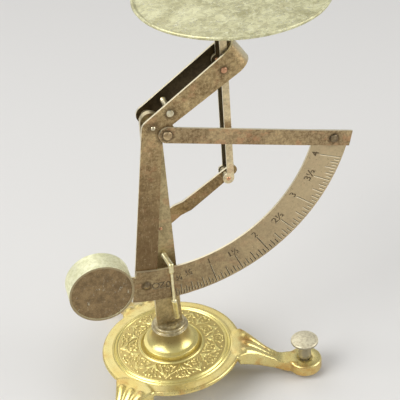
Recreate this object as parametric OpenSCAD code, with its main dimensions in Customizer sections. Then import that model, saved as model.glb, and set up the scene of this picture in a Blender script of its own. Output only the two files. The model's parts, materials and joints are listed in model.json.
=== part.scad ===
// Pendulum letter scale, built as an assembly of separate pieces.
// Millimetres, +Z up, origin on the floor under the middle of the box, the reader stands at -Y.
// The beam, quadrant, spoke and counterweight turn together about the pivot pin on +Y;
// the pan rod hangs on the beam and the lower link keeps it upright.

/* [Base casting] */
// radius of the round base
base_r = 32; // [26:0.5:42]
// height of the base's flat margin above the floor
base_top_z = 18.4; // [14:0.2:26]
// thickness of the base's rim
rim_t = 2.2; // [1.6:0.1:4]
// rounding of the rim
rim_round = 0.6; // [0.2:0.1:1]
// radius of the outer of the two raised moulding rings
ring_r = 26.7; // [23:0.1:28]
// distance between the two moulding rings
ring_apart = 1.4; // [1:0.1:2]
// section radius of the moulding rings
ring_bead = 0.45; // [0.3:0.05:0.6]
// radius of the ring round the foot of the cone
foot_ring_r = 14.2; // [13.4:0.1:17]
// section radius of the cone's foot ring
foot_ring_bead = 0.5; // [0.3:0.05:0.8]
// height of the ornament band's inner edge above the flat margin
foot_rise = 1.7; // [0.8:0.1:3]
// radius of the cone's lower edge
cone_r = 12.4; // [10:0.1:13]
// height of the cone's lower edge above the flat margin
cone_rise = 3.9; // [3:0.1:6]
// height of the cone's seat for the collar above the flat margin
seat_rise = 11.4; // [8:0.1:18]
// radius of the cone at its seat
seat_r = 6.5; // [5.5:0.1:9]
// thickness of the crown that the post's nut pulls against
crown_t = 3.0; // [2:0.1:4]
// radius of the hollow under the crown
crown_hollow_r = 5.6; // [5.2:0.1:6]

/* [Legs and feet] */
// turn of the leg that carries the levelling screw
leg_turn = -16; // [-60:1:60]
// distance from the post's axis to each foot
foot_reach = 60.7; // [50:0.1:80]
// radius of the boss at the leg's end
boss_r = 6.5; // [5:0.1:9]
// top of the boss above the floor
boss_top_z = 8.2; // [6:0.1:12]
// underside of the boss above the floor
boss_low_z = 2.4; // [1:0.1:4]
// half width of the leg at its neck
neck_half_w = 3.4; // [2.5:0.1:5]
// half width of the leg at the base's rim
root_half_w = 10; // [7:0.1:12]
// depth of the leg's root below its top
root_depth = 2; // [1:0.1:4]
// height of the shield panel above the flat margin
shield_rise = 0.35; // [0.1:0.05:0.8]
// height of the three flutes on the knee
flute_rise = 0.7; // [0.2:0.1:1.2]
// radius of the two fixed feet
fixed_foot_r = 3.2; // [2:0.1:5]

/* [Levelling screw] */
// radius of the screw's stem
screw_r = 2.0; // [1.5:0.1:2.6]
// radius of the screw's head
screw_head_r = 5.4; // [4:0.1:7]
// height of the widest part of the head above the floor
screw_head_z = 16.2; // [13:0.1:22]
// rise of the domed top
screw_dome = 2.4; // [1:0.1:4]
// depth of the tapered underside of the head
screw_under = 3.2; // [1:0.1:5]
// radial play of the screw in its boss
screw_play = 0.06; // [0.01:0.01:0.1]

/* [Post] */
// radius of the collar's widest part
collar_r = 7.6; // [7:0.1:10]
// height of the collar
collar_h = 2.8; // [1.5:0.1:6]
// radius of the collar's flat top
collar_top_r = 6.3; // [6:0.1:7]
// thickness of the post
post_t = 2.6; // [1.6:0.1:4]
// width of the post at its bottom
post_bottom_w = 11.6; // [9:0.1:12]
// width of the post at the pivot
post_top_w = 8.3; // [6:0.1:9]
// height of the beam's pivot above the floor
pivot_z = 137.2; // [120:0.1:170]
// radius of the stud under the post
stud_r = 2.5; // [1.5:0.1:3]
// radial play round the stud
stud_play = 0.05; // [0.01:0.01:0.2]
// thickness of the washer under the crown
base_washer_t = 0.8; // [0.5:0.1:1.5]
// radius of the washer under the crown
base_washer_r = 5.0; // [4:0.1:5.4]
// width across the flats of the nut
nut_flats = 8; // [6:0.1:9]
// thickness of the nut
nut_t = 4; // [2.5:0.1:5]

/* [Beam] */
// length of the lever from pivot to pan pin
lever_l = 36.6; // [30:0.1:45]
// rise of the lever above level at no load
lever_angle = 33.5; // [25:0.1:42]
// outer width over the beam's two cheeks
beam_w = 13; // [11:0.1:16]
// thickness of the beam's strip
beam_t = 1.0; // [0.8:0.1:1.5]
// width of the strip at the pivot
beam_h_pivot = 8.4; // [7:0.1:10]
// width of the strip at its bend
beam_h_bend = 10.6; // [8:0.1:12]
// distance from the pivot to the outside of the bend
bend_reach = 47.2; // [44:0.1:55]
// lean of the hanging arm from plumb
arm_lean = 7.2; // [4:0.1:10]
// length of the hanging arm below the pivot
arm_l = 81; // [70:0.1:84]
// width of the arm at its lower end
arm_w_low = 9.8; // [7:0.1:11]
// width of the arm near the elbow
arm_w_top = 8.7; // [6:0.1:9]
// shift of the arm's middle from the pivot
arm_shift = -0.3; // [-1:0.1:1]
// radius of the lobe that carries the spoke
lobe_r = 4.2; // [3:0.1:4.5]
// radius of the pivot pin
pivot_pin_r = 0.8; // [0.6:0.05:1.5]
// radius of the pivot pin's domed ends
pivot_head_r = 1.05; // [0.9:0.05:2]
// radius of the spacers on the pivot pin
pivot_spacer_r = 2.4; // [1.5:0.1:3.5]
// radial play of every turning joint
turn_play = 0.05; // [0.01:0.01:0.1]
// sideways float of every turning joint
side_float = 0.1; // [0.05:0.01:0.2]
// radius of the stop pin through both cheeks
cross_pin_r = 1.3; // [0.8:0.1:2]
// place of the stop pin right of the pivot
cross_pin_x = 7.4; // [6:0.1:12]
// place of the stop pin above the pivot
cross_pin_z = 5.4; // [4:0.1:8]

/* [Quadrant and spoke] */
// inner radius of the quadrant about the pivot
quad_ri = 69.5; // [60:0.1:72]
// outer radius of the quadrant about the pivot
quad_ro = 85.4; // [80:0.1:86]
// thickness of the quadrant and the spoke
quad_t = 1.0; // [0.8:0.1:1.3]
// left end of the quadrant past plumb
quad_left = 11.2; // [9:0.1:14]
// right end of the quadrant past plumb
quad_right = 76.5; // [74:0.1:80]
// width of the tongue behind the counterweight
tongue_w = 7; // [5:0.1:12]
// width of the spoke
spoke_w = 7; // [5:0.1:8]
// inner rivet of the spoke right of the pivot
spoke_in_x = 5.4; // [4:0.1:8]
// inner rivet of the spoke below the pivot
spoke_in_z = 3.9; // [3:0.1:6]
// distance of the spoke's outer rivet from the pivot
spoke_out_r = 78.2; // [72:0.1:82]
// direction of the spoke's outer rivet below level
spoke_out_a = 14.7; // [12:0.1:18]
// spoke beyond its outer rivet
spoke_tail = 7.8; // [5:0.1:9]
// radius of the inner rivet's dome
rivet_in_r = 1.45; // [1:0.05:2]
// radius of the outer rivet's dome
rivet_out_r = 1.65; // [1.2:0.05:2.2]
// radius of the dome on the arm's rivet
rivet_arm_r = 1.95; // [1.4:0.05:2.6]
// distance of the arm's rivet above the arm's lower end
rivet_arm_up = 4; // [3:0.1:6]

/* [Counterweight] */
// radius of the counterweight
weight_r = 13.85; // [10:0.05:16]
// thickness of the counterweight
weight_t = 10.3; // [6:0.1:14]
// wall of the counterweight's case
weight_wall = 0.9; // [0.6:0.1:2]
// place of the counterweight left of the pivot
weight_x = 30.5; // [26:0.1:34]
// place of the counterweight below the pivot
weight_z = 67.6; // [62:0.1:72]
// depth of the core's face inside the case's lip
weight_recess = 0.25; // [0.1:0.05:0.6]

/* [Pan and rod] */
// outer width of the folded rod
rod_w = 8.1; // [6:0.1:9.4]
// sheet thickness of the rod
rod_t = 0.8; // [0.7:0.1:1.2]
// reach of the rod's web from its pins
rod_depth = 2.4; // [2:0.1:3]
// radius of the ears round the pins
ear_r = 2.4; // [2:0.1:3]
// distance between the rod's two pins
link_drop = 52.6; // [45:0.1:60]
// radius of the two pins in the rod
rod_pin_r = 0.75; // [0.6:0.05:1.2]
// radius of the pins' domed ends
rod_head_r = 0.95; // [0.8:0.05:1.8]
// radius of the washers and spacers on the pins
rod_washer_r = 2.0; // [1.4:0.1:2.4]
// radius of the pan
pan_r = 39.2; // [30:0.1:50]
// thickness of the pan's sheet
pan_t = 0.9; // [0.6:0.1:1.2]
// height of the pan's lip above its underside
pan_lip = 1.8; // [1.2:0.1:4]
// height of the pan's underside above the pan pin
pan_up = 27.7; // [26:0.1:34]
// offset of the pan's middle from the pan pin
pan_off = 6.5; // [0:0.1:9]
// radius of the pan rivet's dome
pan_rivet_r = 2.0; // [1.4:0.1:3]

/* [Lower link] */
// thickness of the link
link_t = 1.0; // [0.8:0.1:1.4]
// half width of the link at the post
link_half_post = 3.35; // [2.5:0.05:4]
// half width of the link at the rod
link_half_rod = 2.35; // [1.8:0.05:3]
// link beyond its rod pin
link_tail = 5.2; // [3:0.1:6]
// radius of the pin in the post
post_pin_r = 0.7; // [0.5:0.05:1.2]

/* [Pointer wire] */
// radius of the pointer wire where it crosses the dial
wire_r = 0.6; // [0.4:0.05:0.8]
// radius of its two thick ends
wire_end_r = 1.3; // [0.9:0.05:1.4]
// radius of its two holes in the post
wire_hole_r = 0.9; // [0.6:0.05:1.2]
// gap between the wire and the dial
wire_gap = 0.9; // [0.8:0.05:1.4]
// swelling of the wire at its bends
wire_swell = 0.03; // [0.02:0.01:0.08]
// height of the wire's upper hole above the floor
wire_top_z = 71.6; // [71:0.1:73]
// height at which the upper end grows thin
wire_neck_z = 67; // [65:0.1:68]
// height of the wire's lower bend above the floor
wire_bend_z = 50.6; // [46:0.1:50.8]
// height of the wire's lower hole above the floor
wire_low_z = 36.6; // [36:0.1:40]
// place of the wire's upright part right of the post's middle
wire_x = 1.4; // [0:0.1:1.6]
// place of the wire's lower hole right of the post's middle
wire_low_x = 3.1; // [1:0.1:3.4]

/* [Hidden] */
$fn = 72;
eps = 0.02;
rivet_arm_d = arm_l - rivet_arm_up;
cone_z = base_top_z + cone_rise;
seat_z = base_top_z + seat_rise;
foot_z = base_top_z + foot_rise;
collar_top_z = seat_z + collar_h;
crown_z = seat_z - crown_t;
nut_low_z = crown_z - base_washer_t - nut_t;
cheek_y = beam_w/2;
dial_y = cheek_y + quad_t;
pan_pin_x = lever_l*cos(lever_angle);
pan_pin_z = pivot_z + lever_l*sin(lever_angle);
link_post_z = pivot_z - link_drop;
link_rod_z = pan_pin_z - link_drop;
pan_z = pan_pin_z + pan_up;
pan_x = pan_pin_x + pan_off;
ear_in = rod_w/2 - rod_t;
link_back_y = post_t/2 + side_float;
spoke_out_x = spoke_out_r*cos(spoke_out_a);
spoke_out_z = -spoke_out_r*sin(spoke_out_a);
spoke_l = norm([spoke_out_x - spoke_in_x, spoke_out_z + spoke_in_z]);
spoke_a = atan2(spoke_out_z + spoke_in_z, spoke_out_x - spoke_in_x);
wire_y = dial_y + wire_gap + wire_r;
knee_end = foot_reach - boss_r - 3;

// the post's axis in the part's frame, whose origin lies under the middle of the part's box
axis_x = -17;
axis_y = -8.4;

// the post's axis, from which every piece is measured
module on_axis() {
    translate([axis_x, axis_y, 0]) children();
}

// a flat outline drawn in X and Z, made solid from y0 to y1
module plate(y0, y1) {
    translate([0, y1, 0]) rotate([90, 0, 0]) linear_extrude(y1 - y0) children();
}

// a round bar along Y at a place in X and Z
module bar(x, z, r, y0, y1) {
    translate([x, y1, z]) rotate([90, 0, 0]) cylinder(r = r, h = y1 - y0);
}

// a ring along Y
module sleeve(x, z, r, hole, y0, y1) {
    difference() {
        bar(x, z, r, y0, y1);
        bar(x, z, hole, y0 - 1, y1 + 1);
    }
}

// a low dome standing on the origin
module cap(r, h) {
    big = (r*r + h*h)/(2*h);
    intersection() {
        cylinder(r = r, h = h + 1);
        translate([0, 0, h - big]) sphere(r = big, $fn = 96);
    }
}

// a low dome along Y with its flat side at y0, pointing to -Y or, with side = 1, to +Y
module dome(x, z, r, h, y0, side = -1) {
    translate([x, y0, z]) rotate([side < 0 ? 90 : -90, 0, 0]) cap(r, h);
}

// the leg's upper edge, a smooth fall from the rim to the boss
function leg_top(u) = u <= base_r - 1 ? base_top_z
    : u >= knee_end ? boss_top_z
    : base_top_z + (boss_top_z - base_top_z)
        *(0.5 - 0.5*cos(180*(u - base_r + 1)/(knee_end - base_r + 1)));
// the leg's lower edge
function leg_low(u) = boss_low_z + (base_top_z - root_depth - boss_low_z)
    *pow(max(0, 1 - (u - base_r + 5)/(foot_reach - base_r + 1.3)), 1.7);
// the leg's half width seen from above
function leg_half(u) = u <= base_r - 1 ? root_half_w
    : neck_half_w + (root_half_w - neck_half_w)
        *pow(max(0, 1 - (u - base_r + 1)/(foot_reach - base_r - 9.7)), 2.2);

leg_us = [for (i = [0:26]) 27 + i*(foot_reach - 28)/26];

module leg_side(lift) {
    plate(-root_half_w - 2, root_half_w + 2)
        polygon(concat([for (u = leg_us) [u, leg_top(u) + lift]],
            [for (i = [26:-1:0]) [leg_us[i], leg_low(leg_us[i])]]));
}

// a strip of the leg's outline seen from above, centred on a share k of the half width
module leg_strip(k, half_share, half_add, from, to) {
    us = [for (i = [0:20]) from + (to - from)*i/20];
    linear_extrude(base_top_z + 4)
        polygon(concat([for (u = us) [u, leg_half(u)*(k + half_share) + half_add]],
            [for (i = [20:-1:0]) [us[i], leg_half(us[i])*(k - half_share) - half_add]]));
}

module leg(fixed) {
    intersection() {
        leg_side(shield_rise);
        leg_strip(0, 1, 0, 26.5, foot_reach - 2);
        translate([base_r + 9, 0, 0]) cylinder(r = foot_reach - base_r - 6, h = 60);
        union() {
            translate([base_r + 9, 0, 0]) cylinder(r = 14, h = 60);
            translate([base_r + 3, -20, 0]) cube([60, 40, 60]);
        }
    }
    for (k = [-0.64, 0, 0.64]) intersection() {
        leg_side(shield_rise + flute_rise);
        union() {
            leg_strip(k, 0.16, 0.15, base_r + 2.4, knee_end - 4);
            translate([base_r + 2.4, k*leg_half(base_r + 2.4), 0])
                cylinder(r = 0.16*leg_half(base_r + 2.4) + 0.15, h = 40);
            translate([knee_end - 4, k*leg_half(knee_end - 4), 0])
                cylinder(r = 0.16*leg_half(knee_end - 4) + 0.15, h = 40);
        }
    }
    translate([foot_reach, 0, boss_low_z]) cylinder(r = boss_r - 0.5, h = boss_top_z - boss_low_z);
    translate([foot_reach, 0, boss_low_z + 0.5])
        cylinder(r = boss_r, h = boss_top_z - boss_low_z - 1);
    if (fixed) translate([foot_reach, 0, 0]) {
        translate([0, 0, 0.6]) cylinder(r = fixed_foot_r, h = boss_low_z);
        cylinder(r1 = fixed_foot_r - 0.6, r2 = fixed_foot_r, h = 0.6);
    }
}

module base_casting() color([0.86, 0.74, 0.36]) on_axis() difference() {
    union() {
        rotate_extrude() difference() {
            union() {
                polygon(concat(
                    [[0, seat_z], [seat_r, seat_z]],
                    [for (i = [1:10]) let (t = i/10) [
                        seat_r + (cone_r - seat_r)*t,
                        cone_z + (seat_z - cone_z)*pow(1 - t, 2)]],
                    [[cone_r + 0.5, foot_z], [foot_ring_r, foot_z],
                     [ring_r - ring_apart, base_top_z + 0.5],
                     [ring_r, base_top_z], [base_r - rim_round, base_top_z],
                     [base_r, base_top_z - rim_round],
                     [base_r, base_top_z - rim_t + rim_round/2],
                     [base_r - rim_round/2, base_top_z - rim_t], [0, base_top_z - rim_t]]));
                translate([ring_r, base_top_z]) circle(r = ring_bead);
                translate([ring_r - ring_apart, base_top_z + 0.45]) circle(r = ring_bead);
                translate([foot_ring_r, foot_z]) circle(r = foot_ring_bead);
            }
            polygon([[0, 0], [ring_r - 1, 0], [ring_r - 1, base_top_z - rim_t],
                [foot_ring_r, foot_z - 2.4], [crown_hollow_r + 3.4, foot_z - 0.6],
                [crown_hollow_r, foot_z + 2], [crown_hollow_r, crown_z], [0, crown_z]]);
        }
        rotate([0, 0, leg_turn]) leg(false);
        rotate([0, 0, leg_turn + 120]) leg(true);
        rotate([0, 0, leg_turn + 240]) leg(true);
    }
    translate([0, 0, crown_z - 1]) cylinder(r = stud_r + stud_play, h = crown_t + 2);
    rotate([0, 0, leg_turn]) translate([foot_reach, 0, 0]) {
        cylinder(r = screw_r + screw_play, h = 30);
        translate([0, 0, boss_top_z - 0.7]) cylinder(r = screw_r + 1.4, h = 5);
    }
}

module base_washer() color([0.6, 0.55, 0.42]) on_axis() translate([0, 0, crown_z - base_washer_t])
    difference() {
        cylinder(r = base_washer_r, h = base_washer_t);
        translate([0, 0, -1]) cylinder(r = stud_r + stud_play, h = base_washer_t + 2);
    }

module base_nut() color([0.6, 0.55, 0.42]) on_axis() translate([0, 0, nut_low_z]) difference() {
    intersection() {
        cylinder(r = nut_flats/sqrt(3), h = nut_t, $fn = 6);
        cylinder(r1 = nut_flats/sqrt(3) - 0.5, r2 = nut_flats/sqrt(3) + 1.9, h = nut_t);
    }
    translate([0, 0, -1]) cylinder(r = stud_r, h = nut_t + 2);
}

module post_collar() color([0.6, 0.52, 0.38]) on_axis() translate([0, 0, seat_z]) rotate_extrude()
    difference() {
        intersection() {
            square([collar_r, collar_h]);
            translate([collar_top_r - 3.6, collar_h - 4.9]) circle(r = 4.95, $fn = 96);
        }
        translate([-1, -1]) square([stud_r + stud_play + 1, collar_h + 2]);
    }

module post() color([0.55, 0.46, 0.33]) on_axis() difference() {
    union() {
        plate(-post_t/2, post_t/2) union() {
            polygon([[-post_bottom_w/2, collar_top_z], [post_bottom_w/2, collar_top_z],
                [post_top_w/2, pivot_z], [-post_top_w/2, pivot_z]]);
            translate([0, pivot_z]) circle(r = post_top_w/2);
        }
        translate([0, 0, nut_low_z - 0.8]) cylinder(r = stud_r, h = collar_top_z - nut_low_z + 0.8);
        translate([0, 0, nut_low_z - 1.3])
            cylinder(r1 = stud_r - 0.5, r2 = stud_r, h = 0.5);
    }
    bar(0, pivot_z, pivot_pin_r, -5, 5);
    bar(0, link_post_z, post_pin_r, -5, 5);
    bar(0, wire_top_z, wire_hole_r, -5, 5);
    bar(wire_low_x, wire_low_z, wire_hole_r, -5, 5);
}

module pivot_pin() color([0.8, 0.7, 0.5]) on_axis() {
    bar(0, pivot_z, pivot_pin_r, -cheek_y - side_float, cheek_y + side_float);
    dome(0, pivot_z, pivot_head_r, 0.7, -cheek_y - side_float);
    dome(0, pivot_z, pivot_head_r, 0.7, cheek_y + side_float, 1);
}

module pivot_spacer_front() color([0.6, 0.52, 0.38]) on_axis()
    sleeve(0, pivot_z, pivot_spacer_r, pivot_pin_r, -cheek_y + beam_t + side_float, -post_t/2);
module pivot_spacer_back() color([0.6, 0.52, 0.38]) on_axis()
    sleeve(0, pivot_z, pivot_spacer_r, pivot_pin_r, post_t/2, cheek_y - beam_t - side_float);

// a straight piece of wire that ends in a bend
module wire(a, b, r, end_r) {
    d = b - a;
    l = norm(d);
    translate(a) rotate([0, acos(d[2]/l), atan2(d[1], d[0])]) cylinder(r = r, h = l, $fn = 48);
    translate(b) sphere(r = end_r + wire_swell, $fn = 48);
}

module pointer_wire() color([0.85, 0.78, 0.5]) on_axis() {
    out = -post_t/2 - wire_end_r - wire_swell - 0.1;
    thick = wire_end_r - 0.1;
    head = [0, out, wire_top_z];
    knee = [wire_x, -wire_y, wire_top_z - 1.4];
    neck = [wire_x, -wire_y, wire_neck_z];
    bend = [wire_x, -wire_y, wire_bend_z];
    heel = [wire_low_x, out, wire_low_z];
    wire([0, post_t/2 + 0.5, wire_top_z], head, wire_hole_r, wire_end_r);
    wire(head, knee, thick, thick);
    wire(knee, neck, thick - 0.05, thick - 0.05);
    wire(neck, bend, wire_r, thick);
    wire(bend, heel, thick - 0.05, wire_end_r);
    wire(heel + [0, 0.01, 0], [wire_low_x, post_t/2 + 0.5, wire_low_z], wire_hole_r,
        wire_hole_r - 0.1);
}

module link_post_pin() color([0.75, 0.6, 0.42]) on_axis() {
    bar(0, link_post_z, post_pin_r, -post_t/2 - 0.1,
        link_back_y + link_t + side_float + 0.8);
    dome(0, link_post_z, post_pin_r + 0.1, 0.45, -post_t/2);
    dome(0, link_post_z, post_pin_r + 0.3, 0.5, link_back_y + link_t + side_float + 0.8, 1);
}
module link_post_washer() color([0.7, 0.6, 0.42]) on_axis()
    sleeve(0, link_post_z, 1.9, post_pin_r, link_back_y + link_t + side_float,
        link_back_y + link_t + side_float + 0.8);

module levelling_screw() color([0.78, 0.74, 0.62]) on_axis()
    rotate([0, 0, leg_turn]) translate([foot_reach, 0, 0]) {
        translate([0, 0, 0.8]) cylinder(r = screw_r, h = screw_head_z - screw_under);
        cylinder(r1 = screw_r - 0.8, r2 = screw_r, h = 0.8);
        translate([0, 0, screw_head_z - screw_under])
            cylinder(r1 = screw_r, r2 = screw_head_r - 0.5, h = screw_under - 0.8);
        translate([0, 0, screw_head_z - 0.8])
            cylinder(r1 = screw_head_r - 0.5, r2 = screw_head_r, h = 0.8);
        intersection() {
            translate([0, 0, screw_head_z]) cylinder(r = screw_head_r, h = screw_dome + 1);
            translate([0, 0, screw_head_z + screw_dome - (pow(screw_head_r, 2)
                + pow(screw_dome, 2))/(2*screw_dome)])
                sphere(r = (pow(screw_head_r, 2) + pow(screw_dome, 2))/(2*screw_dome), $fn = 120);
        }
    }

// the diagonal part of a cheek, from the pivot past the bend
module cheek_outline(from) rotate(lever_angle)
    polygon([[from, -beam_h_pivot/2], [bend_reach - beam_w/2, -beam_h_bend/2],
        [bend_reach + 2, -beam_h_bend/2], [bend_reach + 2, beam_h_bend/2],
        [bend_reach - beam_w/2, beam_h_bend/2], [from, beam_h_pivot/2]]);

// a point of the hanging arm: down its length and across its width
function arm_at(down, across) = [arm_shift - down*sin(arm_lean) + across*cos(arm_lean),
    -down*cos(arm_lean) - across*sin(arm_lean)];

// the front cheek: elbow, hanging arm and the lobe for the spoke
module front_outline() {
    cheek_outline(-1.5);
    polygon([arm_at(-0.3, -arm_w_top/2), arm_at(-1.6, -arm_w_top/2 + 0.35),
        arm_at(-2.6, -arm_w_top/2 + 1.2), arm_at(-3.1, -arm_w_top/2 + 2.4), [3, 2], [4, -3],
        arm_at(10, arm_w_top/2), arm_at(arm_l - 1, arm_w_low/2), arm_at(arm_l, arm_w_low/2 - 1),
        arm_at(arm_l, -arm_w_low/2 + 1), arm_at(arm_l - 1, -arm_w_low/2)]);
    translate([spoke_in_x - 0.8, 1.3 - spoke_in_z]) circle(r = lobe_r);
}

// the folded strip, seen along the width of the lever
module fork_strip() rotate([0, -lever_angle, 0]) translate([0, 0, -95]) linear_extrude(190) {
    difference() {
        union() {
            translate([-75, -cheek_y]) square([75 + bend_reach - beam_w/2, beam_w]);
            translate([bend_reach - beam_w/2, 0]) circle(r = cheek_y, $fn = 96);
        }
        translate([-80, -cheek_y + beam_t])
            square([80 + bend_reach - beam_w/2, beam_w - 2*beam_t]);
        translate([bend_reach - beam_w/2, 0]) circle(r = cheek_y - beam_t, $fn = 96);
    }
}

module beam_lever() color([0.56, 0.47, 0.34]) on_axis() translate([0, 0, pivot_z]) difference() {
    intersection() {
        fork_strip();
        union() {
            plate(-cheek_y - 2, 0) front_outline();
            plate(0, cheek_y + 2) {
                cheek_outline(0);
                circle(r = beam_h_pivot/2 + 0.1);
            }
        }
    }
    bar(0, 0, pivot_pin_r + turn_play, -20, 20);
    bar(cross_pin_x, cross_pin_z, cross_pin_r, -20, 20);
    bar(pan_pin_x, pan_pin_z - pivot_z, rod_pin_r, -20, 20);
    bar(spoke_in_x, -spoke_in_z, 0.9, -20, 0);
    rotate([0, arm_lean, 0]) bar(0, -rivet_arm_d, 1.2, -20, 0);
}

module cross_pin() color([0.72, 0.64, 0.46]) on_axis() translate([0, 0, pivot_z]) {
    bar(cross_pin_x, cross_pin_z, cross_pin_r, -cheek_y - 0.1, cheek_y + 0.1);
    dome(cross_pin_x, cross_pin_z, cross_pin_r, 0.5, -cheek_y - 0.1);
    dome(cross_pin_x, cross_pin_z, cross_pin_r, 0.5, cheek_y + 0.1, 1);
}

// seen from above, the spoke leans forward from the cheek onto the dial's face
module spoke() color([0.58, 0.49, 0.35]) on_axis() translate([spoke_in_x, 0, pivot_z - spoke_in_z])
    rotate([0, -spoke_a, 0]) difference() {
        intersection() {
            translate([0, 0, -10]) linear_extrude(20) polygon([
                [-6, -cheek_y], [-6, -cheek_y - quad_t], [4, -cheek_y - quad_t],
                [spoke_l - 14, -cheek_y - 2*quad_t], [spoke_l + spoke_tail, -cheek_y - 2*quad_t],
                [spoke_l + spoke_tail, -cheek_y - quad_t], [spoke_l - 14, -cheek_y - quad_t],
                [4, -cheek_y]]);
            plate(-30, 0) {
                circle(r = spoke_w/2);
                translate([0, -spoke_w/2]) square([spoke_l + spoke_tail, spoke_w]);
            }
        }
        bar(0, 0, 0.9, -20, 0);
        bar(spoke_l, 0, 1.0, -20, 0);
    }

module spoke_rivet_inner() color([0.62, 0.52, 0.36]) on_axis() {
    x = spoke_in_x;
    z = pivot_z - spoke_in_z;
    bar(x, z, 0.9, -cheek_y - quad_t - 0.1, -cheek_y + beam_t + 0.1);
    dome(x, z, rivet_in_r, 0.7, -cheek_y - quad_t);
    dome(x, z, rivet_in_r, 0.5, -cheek_y + beam_t, 1);
}

module spoke_rivet_outer() color([0.62, 0.52, 0.36]) on_axis() {
    x = spoke_out_x;
    z = pivot_z + spoke_out_z;
    bar(x, z, 1.0, -cheek_y - 2*quad_t - 0.1, -cheek_y + 0.1);
    dome(x, z, rivet_out_r, 0.75, -cheek_y - 2*quad_t);
    dome(x, z, rivet_out_r, 0.6, -cheek_y, 1);
}

module quadrant() color([0.6, 0.5, 0.36]) on_axis() translate([0, 0, pivot_z]) difference() {
    plate(-dial_y, -cheek_y) {
        difference() {
            circle(r = quad_ro, $fn = 240);
            circle(r = quad_ri, $fn = 240);
            polygon([[0, 0], 200*[-sin(quad_left), -cos(quad_left)], [-300, -200], [-300, 300],
                [300, 300], 200*[sin(quad_right), -cos(quad_right)]]);
        }
        difference() {
            union() {
                translate([-weight_x, -weight_z]) circle(r = tongue_w/2 + 2);
                rotate(-atan2(weight_x, weight_z)) translate([0, -norm([weight_x, weight_z])])
                    translate([0, -tongue_w/2]) square([22, tongue_w]);
            }
            rotate(-quad_left + 1) translate([0, -200]) square([200, 200]);
        }
    }
    rotate([0, arm_lean, 0]) bar(0, -rivet_arm_d, 1.2, -20, 0);
    bar(spoke_out_x, spoke_out_z, 1.0, -20, 0);
    bar(-weight_x, -weight_z, 1.4, -20, 0);
}

module quadrant_rivet() color([0.4, 0.32, 0.22]) on_axis()
    translate([0, 0, pivot_z]) rotate([0, arm_lean, 0]) {
        bar(0, -rivet_arm_d, 1.2, -dial_y - 0.1, -cheek_y + beam_t + 0.1);
        dome(0, -rivet_arm_d, rivet_arm_r, 0.8, -dial_y);
        dome(0, -rivet_arm_d, rivet_arm_r, 0.6, -cheek_y + beam_t, 1);
    }

module counterweight_case() color([0.72, 0.68, 0.5]) on_axis() translate([-weight_x, 0, pivot_z - weight_z])
    difference() {
        bar(0, 0, weight_r, -dial_y - weight_t, -dial_y);
        bar(0, 0, weight_r - weight_wall, -dial_y - weight_t - 1, -dial_y - weight_wall);
        bar(0, 0, 1.4, -20, 0);
    }

module counterweight_core() color([0.45, 0.38, 0.3]) on_axis() translate([-weight_x, 0, pivot_z - weight_z])
    difference() {
        bar(0, 0, weight_r - weight_wall, -dial_y - weight_t + weight_recess,
            -dial_y - weight_wall);
        bar(0, 0, 1.4, -dial_y - 5, 0);
    }

module counterweight_rivet() color([0.5, 0.42, 0.3]) on_axis() translate([-weight_x, 0, pivot_z - weight_z]) {
    bar(0, 0, 1.4, -dial_y - 5, -cheek_y + 0.1);
    dome(0, 0, 2.4, 0.8, -cheek_y, 1);
}

module pan_pin() color([0.78, 0.52, 0.36]) on_axis() {
    bar(pan_pin_x, pan_pin_z, rod_pin_r, -cheek_y - 0.1, cheek_y + 0.1);
    dome(pan_pin_x, pan_pin_z, rod_head_r, 0.6, -cheek_y);
    dome(pan_pin_x, pan_pin_z, rod_head_r, 0.6, cheek_y, 1);
}
module pan_pin_washer_front() color([0.7, 0.6, 0.42]) on_axis()
    sleeve(pan_pin_x, pan_pin_z, rod_washer_r, rod_pin_r, -cheek_y + beam_t,
        -rod_w/2 - side_float);
module pan_pin_washer_back() color([0.7, 0.6, 0.42]) on_axis()
    sleeve(pan_pin_x, pan_pin_z, rod_washer_r, rod_pin_r, rod_w/2 + side_float,
        cheek_y - beam_t);

// the folded rod: two flanges that carry the pins, a web on their right and a foot on top
module pan_rod() color([0.6, 0.52, 0.36]) on_axis() translate([pan_pin_x, 0, 0]) difference() {
    union() {
        difference() {
            plate(-rod_w/2, rod_w/2) {
                polygon([[-0.5, link_rod_z], [rod_depth, link_rod_z], [rod_depth, pan_z - 9],
                    [pan_off + 5, pan_z - rod_t], [pan_off + 5, pan_z], [-0.5, pan_z]]);
                translate([0, pan_pin_z]) circle(r = ear_r);
                translate([0, link_rod_z]) circle(r = ear_r);
            }
            plate(-ear_in, ear_in) union() {
                translate([-10, link_rod_z - 10])
                    square([10 + rod_depth - rod_t, pan_z - rod_t - link_rod_z + 10]);
                translate([-10, link_rod_z - 10]) square([30, 16]);
                polygon([[rod_depth, pan_z - 9 - 0.2], [rod_depth, pan_z - rod_t],
                    [30, pan_z - rod_t], [30, pan_z - 9 - 0.2]]);
            }
        }
    }
    bar(0, pan_pin_z, rod_pin_r + turn_play, -20, 20);
    bar(0, link_rod_z, rod_pin_r, -20, 20);
    translate([pan_off, 0, pan_z - 5]) cylinder(r = 1.2, h = 10);
}

module link_pin() color([0.78, 0.55, 0.38]) on_axis() {
    bar(pan_pin_x, link_rod_z, rod_pin_r, -rod_w/2 - 0.1, rod_w/2 + 0.1);
    dome(pan_pin_x, link_rod_z, rod_head_r, 0.6, -rod_w/2);
    dome(pan_pin_x, link_rod_z, rod_head_r, 0.6, rod_w/2, 1);
}
module link_pin_spacer_front() color([0.7, 0.6, 0.42]) on_axis()
    sleeve(pan_pin_x, link_rod_z, rod_washer_r, rod_pin_r, -ear_in, -link_t/2 - side_float);
module link_pin_spacer_back() color([0.7, 0.6, 0.42]) on_axis()
    sleeve(pan_pin_x, link_rod_z, rod_washer_r, rod_pin_r, link_t/2 + side_float, ear_in);

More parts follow.
